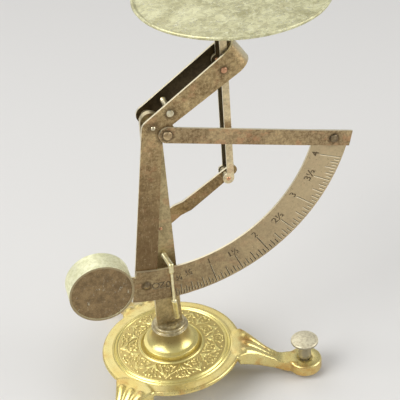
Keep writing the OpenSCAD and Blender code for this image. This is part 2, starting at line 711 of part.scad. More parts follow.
module pan() color([0.82, 0.78, 0.6]) on_axis() translate([pan_x, 0, pan_z]) rotate_extrude($fn = 144)
    polygon([[1.2, 0], [pan_r - 1.6, 0], [pan_r - 0.3, 0.5], [pan_r, 1.0], [pan_r, pan_lip - 0.3],
        [pan_r - 0.3, pan_lip], [pan_r - 0.8, pan_lip], [pan_r - 1.0, pan_lip - 0.3],
        [pan_r - 1.2, pan_t + 0.35], [pan_r - 2.0, pan_t], [1.2, pan_t]]);

module pan_rivet() color([0.7, 0.62, 0.45]) on_axis() translate([pan_x, 0, 0]) {
    translate([0, 0, pan_z - rod_t - 0.1]) cylinder(r = 1.2, h = rod_t + pan_t + 0.2);
    translate([0, 0, pan_z + pan_t]) cap(pan_rivet_r, 0.7);
    translate([0, 0, pan_z - rod_t - 0.7]) cylinder(r1 = 1.4, r2 = 2.0, h = 0.7);
}

// seen along its width the link steps from behind the post to the middle of the rod
module lower_link() color([0.55, 0.46, 0.33]) on_axis() translate([0, 0, link_post_z])
    rotate([0, -lever_angle, 0]) difference() {
        intersection() {
            translate([0, 0, -10]) linear_extrude(20) polygon([
                [-6, link_back_y], [10, link_back_y], [15, -link_t/2],
                [lever_l + 9, -link_t/2], [lever_l + 9, link_t/2], [15.4, link_t/2],
                [10.4, link_back_y + link_t], [-6, link_back_y + link_t]]);
            plate(-10, 10) {
                circle(r = link_half_post);
                polygon([[0, -link_half_post], [lever_l + link_tail - link_half_rod,
                    -link_half_rod], [lever_l + link_tail - link_half_rod, link_half_rod],
                    [0, link_half_post]]);
                translate([lever_l + link_tail - link_half_rod, 0]) circle(r = link_half_rod);
            }
        }
        bar(0, 0, post_pin_r + turn_play, -20, 20);
        bar(lever_l, 0, rod_pin_r + turn_play, -20, 20);
    }

base_casting();
base_washer();
base_nut();
post_collar();
post();
pivot_pin();
pivot_spacer_front();
pivot_spacer_back();
pointer_wire();
link_post_pin();
link_post_washer();
levelling_screw();
beam_lever();
cross_pin();
spoke();
spoke_rivet_inner();
spoke_rivet_outer();
quadrant();
quadrant_rivet();
counterweight_case();
counterweight_core();
counterweight_rivet();
pan_pin();
pan_pin_washer_front();
pan_pin_washer_back();
pan_rod();
link_pin();
link_pin_spacer_front();
link_pin_spacer_back();
pan();
pan_rivet();
lower_link();
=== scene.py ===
"""Looks of a small pendulum letter scale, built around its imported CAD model.

Everything is in metres and in the CAD's frame: +Z is up, the reader stands at -Y, and
the post's axis stands at x = -17 mm, y = -8.4 mm. Outlines and sizes are in millimetres.
"""

import json
import logging
import math
from dataclasses import dataclass
from enum import Enum
from typing import Callable, Sequence

import bmesh
import bpy
from mathutils import Matrix, Vector, noise

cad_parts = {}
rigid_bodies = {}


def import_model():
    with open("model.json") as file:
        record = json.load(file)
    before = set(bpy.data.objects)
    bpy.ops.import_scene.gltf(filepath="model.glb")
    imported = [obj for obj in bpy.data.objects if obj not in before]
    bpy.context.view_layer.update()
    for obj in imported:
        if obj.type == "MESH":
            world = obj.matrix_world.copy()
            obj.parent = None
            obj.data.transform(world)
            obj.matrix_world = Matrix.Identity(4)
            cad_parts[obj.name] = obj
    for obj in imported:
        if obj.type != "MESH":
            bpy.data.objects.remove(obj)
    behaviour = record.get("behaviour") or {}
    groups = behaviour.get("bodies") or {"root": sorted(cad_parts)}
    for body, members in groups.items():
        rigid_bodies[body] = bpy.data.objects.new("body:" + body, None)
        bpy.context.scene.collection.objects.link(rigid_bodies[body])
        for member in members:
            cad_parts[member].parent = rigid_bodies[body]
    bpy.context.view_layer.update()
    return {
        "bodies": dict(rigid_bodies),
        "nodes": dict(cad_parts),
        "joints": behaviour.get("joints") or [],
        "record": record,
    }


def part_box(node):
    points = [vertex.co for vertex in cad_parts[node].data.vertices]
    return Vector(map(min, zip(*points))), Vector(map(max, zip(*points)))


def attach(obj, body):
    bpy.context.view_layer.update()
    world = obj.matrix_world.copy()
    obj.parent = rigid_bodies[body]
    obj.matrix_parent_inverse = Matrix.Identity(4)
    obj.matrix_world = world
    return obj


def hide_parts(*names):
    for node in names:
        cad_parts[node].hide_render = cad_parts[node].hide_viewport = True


LOG = logging.getLogger("letter_scale")
MM = 0.001
PER_METRE = 1000.0
WELD = 1e-6
UP = Vector((0.0, 0.0, 1.0))
BACK = Vector((0.0, 1.0, 0.0))
AXIS = Vector((-17.0, -8.4, 0.0)) * MM
PIVOT = AXIS + Vector((0.0, 0.0, 137.2)) * MM
LEVER_TURN = math.radians(33.5)
LEVER_WAY = Vector((math.cos(LEVER_TURN), 0.0, math.sin(LEVER_TURN)))
Colour = tuple[float, float, float]


def darker(colour: Colour, share: float) -> Colour:
    """A colour with a share of its light."""
    return tuple(part * share for part in colour)


# Shader maths -------------------------------------------------------------------------


class Value:
    """A number in a shader tree, with the usual operators."""

    def __init__(self, tree: "ShaderTree", socket: bpy.types.NodeSocket) -> None:
        """Wraps a socket.

        Args:
            tree: The tree that holds the socket.
            socket: The output socket that carries the number.
        """
        self.tree = tree
        self.socket = socket

    def __add__(self, other: "Value | float") -> "Value":
        """Sum."""
        return self.tree.math("ADD", self, other)

    __radd__ = __add__

    def __sub__(self, other: "Value | float") -> "Value":
        """Difference."""
        return self.tree.math("SUBTRACT", self, other)

    def __rsub__(self, other: "Value | float") -> "Value":
        """Difference with this value taken away."""
        return self.tree.math("SUBTRACT", other, self)

    def __mul__(self, other: "Value | float") -> "Value":
        """Product."""
        return self.tree.math("MULTIPLY", self, other)

    __rmul__ = __mul__

    def __abs__(self) -> "Value":
        """Size without sign."""
        return self.tree.math("ABSOLUTE", self)

    def ramp(self, low: float, high: float, start: float = 0.0, end: float = 1.0) -> "Value":
        """Maps low..high smoothly to start..end and holds it there.

        Args:
            low: Where the ramp starts.
            high: Where the ramp ends.
            start: Result at low and before it.
            end: Result at high and past it.

        Returns:
            The mapped value.
        """
        made = self.tree.node(
            "ShaderNodeMapRange",
            {"interpolation_type": "SMOOTHSTEP", "clamp": True},
            {"Value": self, "From Min": low, "From Max": high, "To Min": start, "To Max": end},
        )
        return Value(self.tree, made.outputs["Result"])


class ShaderTree:
    """Builds one material's nodes."""

    def __init__(self, name: str) -> None:
        """Starts an empty material.

        Args:
            name: The material's name.
        """
        self.material = bpy.data.materials.new(name)
        self.material.use_nodes = True
        self.nodes = self.material.node_tree.nodes
        self.links = self.material.node_tree.links
        self.nodes.clear()
        self.place = self.node("ShaderNodeTexCoord").outputs["Object"]

    def feed(self, target: bpy.types.NodeSocket, value: object) -> None:
        """Links or sets one input.

        Args:
            target: The input socket.
            value: A value, a socket, a colour, a vector or a number.
        """
        if isinstance(value, Value):
            value = value.socket
        if isinstance(value, bpy.types.NodeSocket):
            self.links.new(value, target)
        elif isinstance(value, tuple) and target.type == "RGBA":
            target.default_value = (*value, 1.0)
        else:
            target.default_value = value

    def node(
        self, kind: str, settings: dict | None = None, values: dict | None = None
    ) -> bpy.types.Node:
        """Adds one node.

        Args:
            kind: The node's type.
            settings: Properties that are set first.
            values: Socket names or numbers with their values or links.

        Returns:
            The new node.
        """
        made = self.nodes.new(kind)
        for key, setting in (settings or {}).items():
            setattr(made, key, setting)
        for key, value in (values or {}).items():
            self.feed(made.inputs[key], value)
        return made

    def math(self, operation: str, *operands: "Value | float") -> Value:
        """Adds a Math node.

        Args:
            operation: Blender's name of the operation.
            operands: Its operands, values or plain numbers.

        Returns:
            The result.
        """
        made = self.node(
            "ShaderNodeMath", {"operation": operation}, dict(enumerate(operands))
        )
        return Value(self, made.outputs[0])

    def vector(
        self, operation: str, first: bpy.types.NodeSocket, second: Sequence[float]
    ) -> bpy.types.Node:
        """Adds a Vector Math node on a vector and a fixed one."""
        return self.node(
            "ShaderNodeVectorMath", {"operation": operation}, {0: first, 1: tuple(second)}
        )

    def dot(self, first: bpy.types.NodeSocket, second: Sequence[float]) -> Value:
        """Dot product of a vector and a fixed one."""
        return Value(self, self.vector("DOT_PRODUCT", first, second).outputs["Value"])

    def offset(self, centre: Vector) -> bpy.types.NodeSocket:
        """The way from a point to the surface, in metres."""
        return self.vector("SUBTRACT", self.place, centre).outputs["Vector"]

    def split(self, centre: Vector) -> list[Value]:
        """The way from a point to the surface along x, y and z, in metres."""
        made = self.node("ShaderNodeSeparateXYZ", None, {0: self.offset(centre)})
        return [Value(self, made.outputs[i]) for i in range(3)]

    def reach(self, centre: Vector, along: int) -> Value:
        """Distance from a line through a point.

        Args:
            centre: The point.
            along: Number of the axis that the line follows.

        Returns:
            The distance, in millimetres.
        """
        first, second = (side for i, side in enumerate(self.split(centre)) if i != along)
        return self.math("SQRT", first * first + second * second) * PER_METRE

    def noise(
        self,
        per_mm: float,
        detail: float = 4.0,
        rough: float = 0.55,
        stretch: Sequence[float] = (1.0, 1.0, 1.0),
        distortion: float = 0.0,
    ) -> Value:
        """Noise over the surface.

        Args:
            per_mm: Features per millimetre.
            detail: Octaves.
            rough: Weight of the finer octaves.
            stretch: Scale along each axis.
            distortion: Swirl of the pattern.

        Returns:
            The noise, from 0 to 1.
        """
        scaled = self.vector("MULTIPLY", self.place, [side * PER_METRE for side in stretch])
        values = {
            "Vector": scaled.outputs["Vector"],
            "Scale": per_mm,
            "Detail": detail,
            "Roughness": rough,
            "Distortion": distortion,
        }
        return Value(self, self.node("ShaderNodeTexNoise", None, values).outputs["Fac"])

    def facing(self, axis: Vector) -> Value:
        """How far the surface faces along an axis of the object, from -1 to 1."""
        return self.dot(self.node("ShaderNodeTexCoord").outputs["Normal"], axis)

    def mix(
        self,
        factor: "Value | float",
        first: Colour | bpy.types.NodeSocket,
        second: Colour | bpy.types.NodeSocket,
    ) -> bpy.types.NodeSocket:
        """Blends two colours.

        Args:
            factor: Share of the second colour.
            first: Colour or socket.
            second: Colour or socket.

        Returns:
            The blended colour.
        """
        made = self.node("ShaderNodeMix", {"data_type": "RGBA", "clamp_factor": True})
        sockets = {s.identifier: s for s in made.inputs}
        for key, value in (("Factor_Float", factor), ("A_Color", first), ("B_Color", second)):
            self.feed(sockets[key], value)
        return next(s for s in made.outputs if s.identifier == "Result_Color")

    def surface(
        self,
        colour: Colour | bpy.types.NodeSocket,
        roughness: "Value | float",
        metallic: float,
        height: Value | None = None,
        depth_mm: float = 0.1,
        round_mm: float = 0.0,
    ) -> bpy.types.Material:
        """Ends the tree in a Principled surface.

        Args:
            colour: Base colour.
            roughness: Roughness.
            metallic: Metallic share.
            height: Bump height from 0 to 1, or None.
            depth_mm: Depth of the bump.
            round_mm: Radius by which sharp edges look rounded.

        Returns:
            The material.
        """
        shader = self.node(
            "ShaderNodeBsdfPrincipled",
            None,
            {"Base Color": colour, "Roughness": roughness, "Metallic": metallic},
        )
        normal = None
        if round_mm > 0:
            normal = self.node(
                "ShaderNodeBevel", {"samples": 6}, {"Radius": round_mm * MM}
            ).outputs["Normal"]
        if height is not None:
            values = {"Height": height, "Distance": depth_mm * MM, "Strength": 1.0}
            if normal is not None:
                values["Normal"] = normal
            normal = self.node("ShaderNodeBump", None, values).outputs["Normal"]
        if normal is not None:
            self.links.new(normal, shader.inputs["Normal"])
        out = self.node("ShaderNodeOutputMaterial")
        self.links.new(shader.outputs["BSDF"], out.inputs["Surface"])
        return self.material


# Finishes -----------------------------------------------------------------------------


@dataclass(frozen=True)
class Fade:
    """A slow change of tone along a line towards one end of a strip; on the lever it is painted
    shade, darker towards the bottom.
    """

    axis: Colour
    start_mm: float
    end_mm: float
    tone: Colour
    share: float = 0.8


@dataclass(frozen=True)
class ShadowRing:
    """Painted shadow: a dark ring round a pin or under the round end of another strip."""

    node: str
    inner_mm: float
    outer_mm: float
    share: float = 0.55


@dataclass(frozen=True)
class AgedSheet:
    """Old brass sheet gone brown, with a painted highlight on its cut edges, painted shade inside
    the fork and painted shadow rings round pins.
    """

    name: str
    light: Colour = (0.64, 0.48, 0.24)
    dark: Colour = (0.23, 0.15, 0.065)
    # Colour of the painted highlight on the cut edges.
    edge: Colour = (0.92, 0.84, 0.60)
    metallic: float = 0.72
    rough: float = 0.36
    round_mm: float = 0.14
    fade: Fade | None = None
    # Painted shade within this distance of the post's axis in y, between the sheet's folded sides.
    shaded_within_mm: float = 0.0
    pinkness: float = 0.35
    painted_shade: tuple[ShadowRing, ...] = ()
    pink: Colour = (0.60, 0.33, 0.17)
    scratched: Colour = (0.80, 0.66, 0.38)
    worn: Colour = (0.86, 0.74, 0.48)
    speck: Colour = (0.09, 0.055, 0.025)
    # Colour of the painted shadow rings.
    shadow_tone: Colour = (0.075, 0.045, 0.02)
    # Colour of the painted shade inside the fork.
    fork_shade: Colour = (0.035, 0.026, 0.012)

    def build(self) -> bpy.types.Material:
        """Makes the material.

        Returns:
            The material.
        """
        t = ShaderTree(self.name)
        broad = t.noise(0.09, 5.0, 0.6).ramp(0.4, 0.6)
        blots = t.noise(0.32, 6.0, 0.68).ramp(0.42, 0.6)
        fine = t.noise(0.9, 6.0, 0.65)
        specks = t.noise(1.3, 4.0, 0.65).ramp(0.6, 0.7)
        bright = t.noise(0.85, 5.0, 0.75).ramp(0.6, 0.68)
        scratch = t.noise(0.5, 4.0, 0.6, (4.0, 1.0, 0.35)).ramp(0.58, 0.72)
        tone = broad * 0.3 + blots * 0.25 + fine.ramp(0.41, 0.6) * 0.45
        colour = t.mix(tone, self.dark, self.light)
        pink = t.noise(0.16, 5.0, 0.65, (1.0, 1.0, 1.4)).ramp(0.52, 0.66)
        colour = t.mix(pink * self.pinkness, colour, self.pink)
        if self.fade is not None:
            along = t.dot(t.offset(PIVOT), self.fade.axis) * PER_METRE
            share = along.ramp(self.fade.start_mm, self.fade.end_mm, 0.0, self.fade.share)
            colour = t.mix(share, colour, self.fade.tone)
        colour = t.mix(scratch * 0.25, colour, self.scratched)
        colour = t.mix(bright * 0.4, colour, self.worn)
        colour = t.mix(specks * 0.5, colour, self.speck)
        # Painted shadow rings round pins and rivets and under the spoke's round end.
        for spot in self.painted_shade:
            low, high = (Vector(corner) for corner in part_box(spot.node))
            far = t.reach((low + high) / 2, 1) + (fine - 0.5) * 1.6
            ring = far.ramp(spot.inner_mm, spot.outer_mm, spot.share, 0.0)
            colour = t.mix(ring, colour, self.shadow_tone)
        # Mask of the cut edges: the faces that face neither front nor back.
        side = abs(t.facing(BACK)).ramp(0.35, 0.8, 1.0, 0.0)
        # Painted shade inside the fork: faces between the folded sides are darkened, except the
        # outside of the bend.
        if self.shaded_within_mm > 0:
            y = t.split(AXIS)[1] * PER_METRE
            inside = abs(y).ramp(self.shaded_within_mm, self.shaded_within_mm + 0.2, 1.0, 0.0)
            nose = t.facing(LEVER_WAY).ramp(0.1, 0.3, 1.0, 0.0)
            colour = t.mix(inside * nose * 0.88, colour, self.fork_shade)
        # Painted highlight: the cut edges are painted pale, as if light catches them.
        colour = t.mix(side * 0.85, colour, self.edge)
        rough = fine * 0.22 + (self.rough - 0.06) - side * 0.08
        height = fine * 0.5 + specks * -0.6 + t.noise(6.0, 2.0) * 0.15
        return t.surface(colour, rough, self.metallic, height, 0.035, self.round_mm)


@dataclass(frozen=True)
class PlainMetal:
    """Small turned or drawn pieces, with optional painted shade on their flanks and round the
    sides of their heads.
    """

    name: str
    light: Colour
    dark: Colour
    metallic: float = 0.85
    rough: float = 0.3
    pits: float = 0.0
    patch_per_mm: float = 0.5
    shaded_rim: bool = False
    shaded_flanks: bool = False

    def build(self) -> bpy.types.Material:
        """Makes the material.

        Returns:
            The material.
        """
        t = ShaderTree(self.name)
        broad = t.noise(self.patch_per_mm, 5.0, 0.62).ramp(0.35, 0.66)
        fine = t.noise(3.0, 4.0, 0.6)
        colour = t.mix(broad, self.light, self.dark)
        holes = t.noise(1.7, 3.0, 0.7).ramp(0.58, 0.7)
        colour = t.mix(holes * self.pits, colour, darker(self.dark, 0.45))
        # Painted shade: faces that do not face up are darker than the lit tops.
        if self.shaded_flanks:
            flank = t.facing(UP).ramp(0.05, 0.6, 1.0, 0.0)
            colour = t.mix(flank * 0.8, colour, darker(self.dark, 0.45))
        # Painted shade: the sides of heads and pins outside the fork are darkened as a contact
        # shadow.
        if self.shaded_rim:
            rim = abs(t.facing(BACK)).ramp(0.55, 0.94, 1.0, 0.0)
            y = t.split(AXIS)[1] * PER_METRE
            rim = rim * abs(y).ramp(5.5, 5.9)
            colour = t.mix(rim * 0.85, colour, darker(self.dark, 0.2))
        rough = fine * 0.2 + (self.rough - 0.05) + holes * (0.2 * self.pits)
        height = fine * 0.4 - holes * self.pits
        return t.surface(colour, rough, self.metallic, height, 0.05, 0.12)


@dataclass(frozen=True)
class CastBrass:
    """Polished cast brass with concentric turning marks round the post's axis."""

    name: str = "cast_brass"
    light: Colour = (0.80, 0.64, 0.22)
    pale: Colour = (0.78, 0.70, 0.33)
    deep: Colour = (0.50, 0.31, 0.07)
    red: Colour = (0.58, 0.31, 0.08)

    def build(self) -> bpy.types.Material:
        """Makes the material.

        Returns:
            The material.
        """
        t = ShaderTree(self.name)
        radius = t.reach(AXIS, 2)
        ring_place = t.node("ShaderNodeCombineXYZ", None, {"X": radius}).outputs[0]
        made = t.node(
            "ShaderNodeTexNoise", None, {"Vector": ring_place, "Scale": 2.2, "Detail": 4.0}
        )
        turning = Value(t, made.outputs["Fac"])
        on_disc = radius.ramp(31.0, 33.0, 1.0, 0.0)
        broad = t.noise(0.06, 4.0, 0.55).ramp(0.35, 0.65)
        fine = t.noise(1.6, 5.0, 0.6)
        tarnish = t.noise(0.35, 5.0, 0.65).ramp(0.56, 0.72)
        colour = t.mix(broad * 0.7, self.light, self.pale)
        colour = t.mix(tarnish * 0.35, colour, self.deep)
        colour = t.mix(turning.ramp(0.45, 0.7) * on_disc * 0.22, colour, self.deep)
        outward = radius.ramp(28.0, 34.0, 0.15, 0.8)
        red = t.noise(0.11, 5.0, 0.6).ramp(0.48, 0.66) * outward
        colour = t.mix(red, colour, self.red)
        flank = t.facing(UP).ramp(0.1, 0.7, 1.0, 0.0)
        colour = t.mix(flank * radius.ramp(40.0, 54.0, 0.0, 0.35), colour, self.red)
        rough = fine * 0.18 + 0.2 + tarnish * 0.12
        height = turning * on_disc * 0.35 + fine * 0.35 + t.noise(5.0, 2.0) * 0.1
        return t.surface(colour, rough, 0.82, height, 0.03, 0.25)


@dataclass(frozen=True)
class ReliefBrass:
    """Cast brass, soiled in the ground of the leaf relief, with painted shade under the collar and
    along the groove at 13.2 mm round the post's axis.
    """

    name: str = "relief_brass"
    high: Colour = (0.84, 0.73, 0.28)
    low: Colour = (0.56, 0.44, 0.16)
    dull: Colour = (0.72, 0.58, 0.22)
    # Colour of the painted shade under the collar and in the groove.
    shadow_tone: Colour = (0.26, 0.16, 0.045)

    def build(self) -> bpy.types.Material:
        """Makes the material.

        Returns:
            The material.
        """
        t = ShaderTree(self.name)
        made = t.node("ShaderNodeAttribute", {"attribute_name": "relief"})
        depth = Value(t, made.outputs["Fac"])
        fine = t.noise(1.8, 5.0, 0.6)
        colour = t.mix(depth.ramp(0.15, 0.75), self.low, self.high)
        colour = t.mix(t.noise(0.12, 4.0).ramp(0.4, 0.65) * 0.45, colour, self.dull)
        radius = t.reach(AXIS, 2)
        # Painted shade under the collar's lip and in the groove at 13.2 mm.
        painted_shade = radius.ramp(7.6, 10.0, 0.75, 0.0) + abs(radius - 13.2).ramp(0.0, 0.8, 0.6, 0.0)
        colour = t.mix(painted_shade, colour, self.shadow_tone)
        rough = fine * 0.2 + 0.2 + depth.ramp(0.1, 0.7, 0.14, 0.0)
        return t.surface(colour, rough, 0.88, fine, 0.04)


@dataclass(frozen=True)
class PanSheet:
    """Pale sheet metal with worn, swirled mottling."""

    name: str = "pan_metal"
    pale: Colour = (0.88, 0.86, 0.54)
    olive: Colour = (0.47, 0.44, 0.22)
    white: Colour = (0.98, 0.97, 0.74)
    brown: Colour = (0.42, 0.36, 0.18)

    def build(self) -> bpy.types.Material:
        """Makes the material.

        Returns:
            The material.
        """
        t = ShaderTree(self.name)
        broad = t.noise(0.07, 6.0, 0.62, distortion=0.6).ramp(0.34, 0.66)
        blots = t.noise(0.32, 6.0, 0.7, distortion=1.2).ramp(0.44, 0.58)
        flakes = t.noise(0.7, 4.0, 0.7, distortion=2.0).ramp(0.53, 0.64)
        brown = t.noise(0.11, 5.0, 0.6).ramp(0.55, 0.75)
        colour = t.mix(broad * 0.6 + blots * 0.4, self.olive, self.pale)
        colour = t.mix(brown * 0.4, colour, self.brown)
        colour = t.mix(flakes * 0.75, colour, self.white)
        rough = blots * 0.2 + 0.3 - flakes * 0.08
        height = blots * 0.4 + flakes * 0.5 + t.noise(4.0, 3.0) * 0.2
        return t.surface(colour, rough, 0.6, height, 0.05, 0.2)


@dataclass(frozen=True)
class DrumCase:
    """The counterweight's case: pale and mottled round its side, brown on its face."""

    name: str = "drum_case"
    pale: Colour = (0.95, 0.94, 0.64)
    green: Colour = (0.76, 0.75, 0.46)
    face: Colour = (0.34, 0.25, 0.13)
    speck: Colour = (0.85, 0.84, 0.66)

    def build(self) -> bpy.types.Material:
        """Makes the material.

        Returns:
            The material.
        """
        t = ShaderTree(self.name)
        blots = t.noise(0.5, 6.0, 0.7).ramp(0.38, 0.62)
        specks = t.noise(1.6, 4.0, 0.7).ramp(0.6, 0.7)
        colour = t.mix(blots, self.pale, self.green)
        colour = t.mix(specks * 0.6, colour, self.speck)
        front = t.facing(-BACK).ramp(0.35, 0.8)
        colour = t.mix(front * 0.9, colour, self.face)
        rough = blots * 0.2 + 0.34
        return t.surface(colour, rough, 0.6, blots * 0.5 - specks, 0.08, 0.3)


@dataclass(frozen=True)
class DrumFace:
    """The pitted core that shows in the counterweight's face."""

    name: str = "drum_face"
    light: Colour = (0.37, 0.255, 0.12)
    dark: Colour = (0.15, 0.095, 0.042)
    pit: Colour = (0.07, 0.05, 0.035)
    scuff: Colour = (0.78, 0.76, 0.58)

    def build(self) -> bpy.types.Material:
        """Makes the material.

        Returns:
            The material.
        """
        t = ShaderTree(self.name)
        broad = t.noise(0.3, 6.0, 0.75).ramp(0.34, 0.66)
        pits = t.noise(1.1, 4.0, 0.75).ramp(0.58, 0.68)
        wiped = t.noise(0.12, 3.0).ramp(0.48, 0.6)
        specks = t.noise(0.95, 5.0, 0.8, (1.0, 1.0, 0.6)).ramp(0.57, 0.65) * (wiped * 0.8 + 0.2)
        fine = t.noise(2.4, 4.0)
        colour = t.mix(broad * 0.7 + fine * 0.3, self.dark, self.light)
        colour = t.mix(pits * 0.55, colour, self.pit)
        colour = t.mix(specks * 0.7, colour, self.scuff)
        rough = fine * 0.2 + 0.34
        return t.surface(colour, rough, 0.55, fine * 0.4 - pits + specks * 0.5, 0.1, 0.2)


class Wall(Enum):
    """The sides of an engraved groove, as material slots of the engraved plate."""

    # One wall of each groove carries a painted highlight, the other painted shade.
    LIT = 1
    DARK = 2
    FLOOR = 3


@dataclass(frozen=True)
class Groove:
    """One side of an engraved groove: the wall with a painted highlight, the wall in painted
    shade, or the plain floor.
    """

    name: str
    colour: Colour
    metallic: float = 0.3
    rough: float = 0.45

    def build(self) -> bpy.types.Material:
        """Makes the material.

        Returns:
            The material.
        """
        t = ShaderTree(self.name)
        fine = t.noise(2.0, 3.0)
        colour = t.mix(fine * 0.5, self.colour, darker(self.colour, 0.7))
        return t.surface(colour, self.rough, self.metallic)


class Finishes:
    """Every finish of the scale, made once."""

    def __init__(self) -> None:
        """Builds the materials."""
        self.cast = CastBrass().build()
        self.relief = ReliefBrass().build()
        self.lever = AgedSheet(
            "lever_sheet",
            # Painted shade: the lever darker towards its bottom.
            fade=Fade((0.0, 0.0, -1.0), -8.0, 62.0, (0.15, 0.088, 0.036), 0.8),
            # Painted shade inside the fork.
            shaded_within_mm=5.6,
            # Painted shadow rings round the pins and under the spoke's inner end.
            painted_shade=(
                ShadowRing("pivot_pin", 1.4, 3.8),
                ShadowRing("cross_pin", 1.8, 3.6),
                ShadowRing("pan_pin", 1.6, 3.2),
                ShadowRing("spoke_rivet_inner", 3.4, 5.6, 0.8),
            ),
        ).build()
        self.spoke = AgedSheet(
            "spoke_sheet", (0.60, 0.45, 0.24), (0.22, 0.145, 0.07), pinkness=0.6,
            # Painted shadow rings round the rivets.
            painted_shade=(ShadowRing("spoke_rivet_inner", 2.2, 3.6), ShadowRing("spoke_rivet_outer", 2.0, 3.6)),
        ).build()
        self.dial = AgedSheet(
            "dial_sheet",
            (0.45, 0.34, 0.175),
            (0.21, 0.14, 0.068),
            round_mm=0.05,
            fade=Fade((1.0, 0.0, 0.25), -25.0, 70.0, (0.74, 0.60, 0.37), 0.62),
            pinkness=0.2,
            # Painted shadow rings round the rivet and under the spoke's outer end.
            painted_shade=(ShadowRing("quadrant_rivet", 2.0, 3.0), ShadowRing("spoke_rivet_outer", 3.0, 6.0)),
        ).build()
        self.post = AgedSheet(
            # The third colour is the painted highlight on the post's cut edges.
            "post_sheet", (0.62, 0.50, 0.27), (0.33, 0.255, 0.125), (0.62, 0.54, 0.34)
        ).build()
        self.link = AgedSheet("link_sheet", (0.46, 0.32, 0.14), (0.19, 0.12, 0.048)).build()
        self.rod = AgedSheet(
            # Painted shade inside the rod's fold.
            "rod_sheet", (0.92, 0.77, 0.48), (0.58, 0.47, 0.28), shaded_within_mm=3.3
        ).build()
        self.pan = PanSheet().build()
        self.case = DrumCase().build()
        self.core = DrumFace().build()
        self.collar = PlainMetal(
            "collar_metal", (0.56, 0.49, 0.30), (0.37, 0.30, 0.17), 0.8, 0.3, 0.3
        ).build()
        self.screw = PlainMetal(
            # Painted shade on the flanks, darker than the top.
            "screw_metal", (0.84, 0.78, 0.57), (0.60, 0.53, 0.36), 0.6, 0.4, 0.2, 0.8, shaded_flanks=True
        ).build()
        self.wire = PlainMetal(
            "wire_brass", (0.95, 0.88, 0.58), (0.74, 0.66, 0.36), 0.8, 0.26
        ).build()
        # The copper, bright_head, rivet and dark_rivet finishes have painted shade round the sides
        # of their heads and pins.
        self.copper = PlainMetal(
            "copper_pin", (0.74, 0.42, 0.25), (0.46, 0.22, 0.11), 0.85, 0.3, shaded_rim=True
        ).build()
        self.bright = PlainMetal(
            "bright_pin", (0.9, 0.84, 0.66), (0.5, 0.42, 0.27), 0.9, 0.2
        ).build()
        self.bright_head = PlainMetal(
            "bright_head", (0.90, 0.84, 0.62), (0.50, 0.41, 0.24), 0.8, 0.25, shaded_rim=True
        ).build()
        self.rivet = PlainMetal(
            "rivet_brass", (0.72, 0.56, 0.33), (0.38, 0.26, 0.13), 0.75, 0.3, 0.4, shaded_rim=True
        ).build()
        self.dark_rivet = PlainMetal(
            "dark_rivet", (0.34, 0.26, 0.15), (0.15, 0.105, 0.055), 0.7, 0.3, 0.3, shaded_rim=True
        ).build()
        self.marks = {
            # Painted highlight and painted shade for the groove walls, and the floor's own colour.
            Wall.LIT: Groove("groove_lit", (0.92, 0.80, 0.54)).build(),
            Wall.DARK: Groove("groove_shaded", (0.035, 0.022, 0.01)).build(),
            Wall.FLOOR: Groove("groove_floor", (0.19, 0.135, 0.068)).build(),
        }


def dress(frame: dict, material: bpy.types.Material, *nodes: str) -> None:
    """Gives CAD nodes a finish.

    Args:
        material: The finish.
        nodes: Names of the nodes.
    """
    for name in nodes:
        mesh = frame["nodes"][name].data
        mesh.materials.clear()
        mesh.materials.append(material)
        LOG.info("dressed %s in %s", name, material.name)


def linked(name: str, data: bpy.types.ID) -> bpy.types.Object:
    """Puts new data in the scene as an object."""
    made = bpy.data.objects.new(name, data)
    bpy.context.scene.collection.objects.link(made)
    return made


def add_piece(name: str, mesh: bpy.types.Mesh, body: str) -> bpy.types.Object:
    """Puts a finished mesh in the scene as a piece of the object.

    Args:
        name: The piece's name.
        mesh: Its mesh, in the CAD's frame.
        body: The CAD body that it moves with.

    Returns:
        The new object.
    """
    piece = linked(name, mesh)
    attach(piece, body)
    LOG.info("piece %s: %d faces", name, len(mesh.polygons))
    return piece


def welded(mesh: bpy.types.Mesh, gap: float = WELD, outward: bool = False) -> bpy.types.Mesh:
    """Merges a mesh's doubled points in place.

    Args:
        mesh: The mesh.
        gap: How far apart doubled points may lie, in metres.
        outward: Whether its faces are turned outwards too.

    Returns:
        The same mesh.
    """
    work = bmesh.new()
    work.from_mesh(mesh)
    bmesh.ops.remove_doubles(work, verts=work.verts, dist=gap)
    if outward:
        bmesh.ops.recalc_face_normals(work, faces=work.faces)
    work.to_mesh(mesh)
    work.free()
    return mesh


def closed_mesh(work: bmesh.types.BMesh, name: str) -> bpy.types.Mesh:
    """Makes a smooth mesh with its faces outwards.

    Args:
        work: The closed surface, which is freed.
        name: The mesh's name.

    Returns:
        The mesh.
    """
    bmesh.ops.recalc_face_normals(work, faces=work.faces)
    mesh = bpy.data.meshes.new(name)
    work.to_mesh(mesh)
    work.free()
    mesh.shade_smooth()
    return mesh


def applied(source: bpy.types.Object, name: str) -> bpy.types.Mesh:
    """Applies an object's modifiers and removes the object.

    Args:
        source: The object.
        name: The new mesh's name.

    Returns:
        The resulting mesh.
    """
    graph = bpy.context.evaluated_depsgraph_get()
    mesh = bpy.data.meshes.new_from_object(source.evaluated_get(graph), depsgraph=graph)
    mesh.name = name
    bpy.data.objects.remove(source)
    return mesh


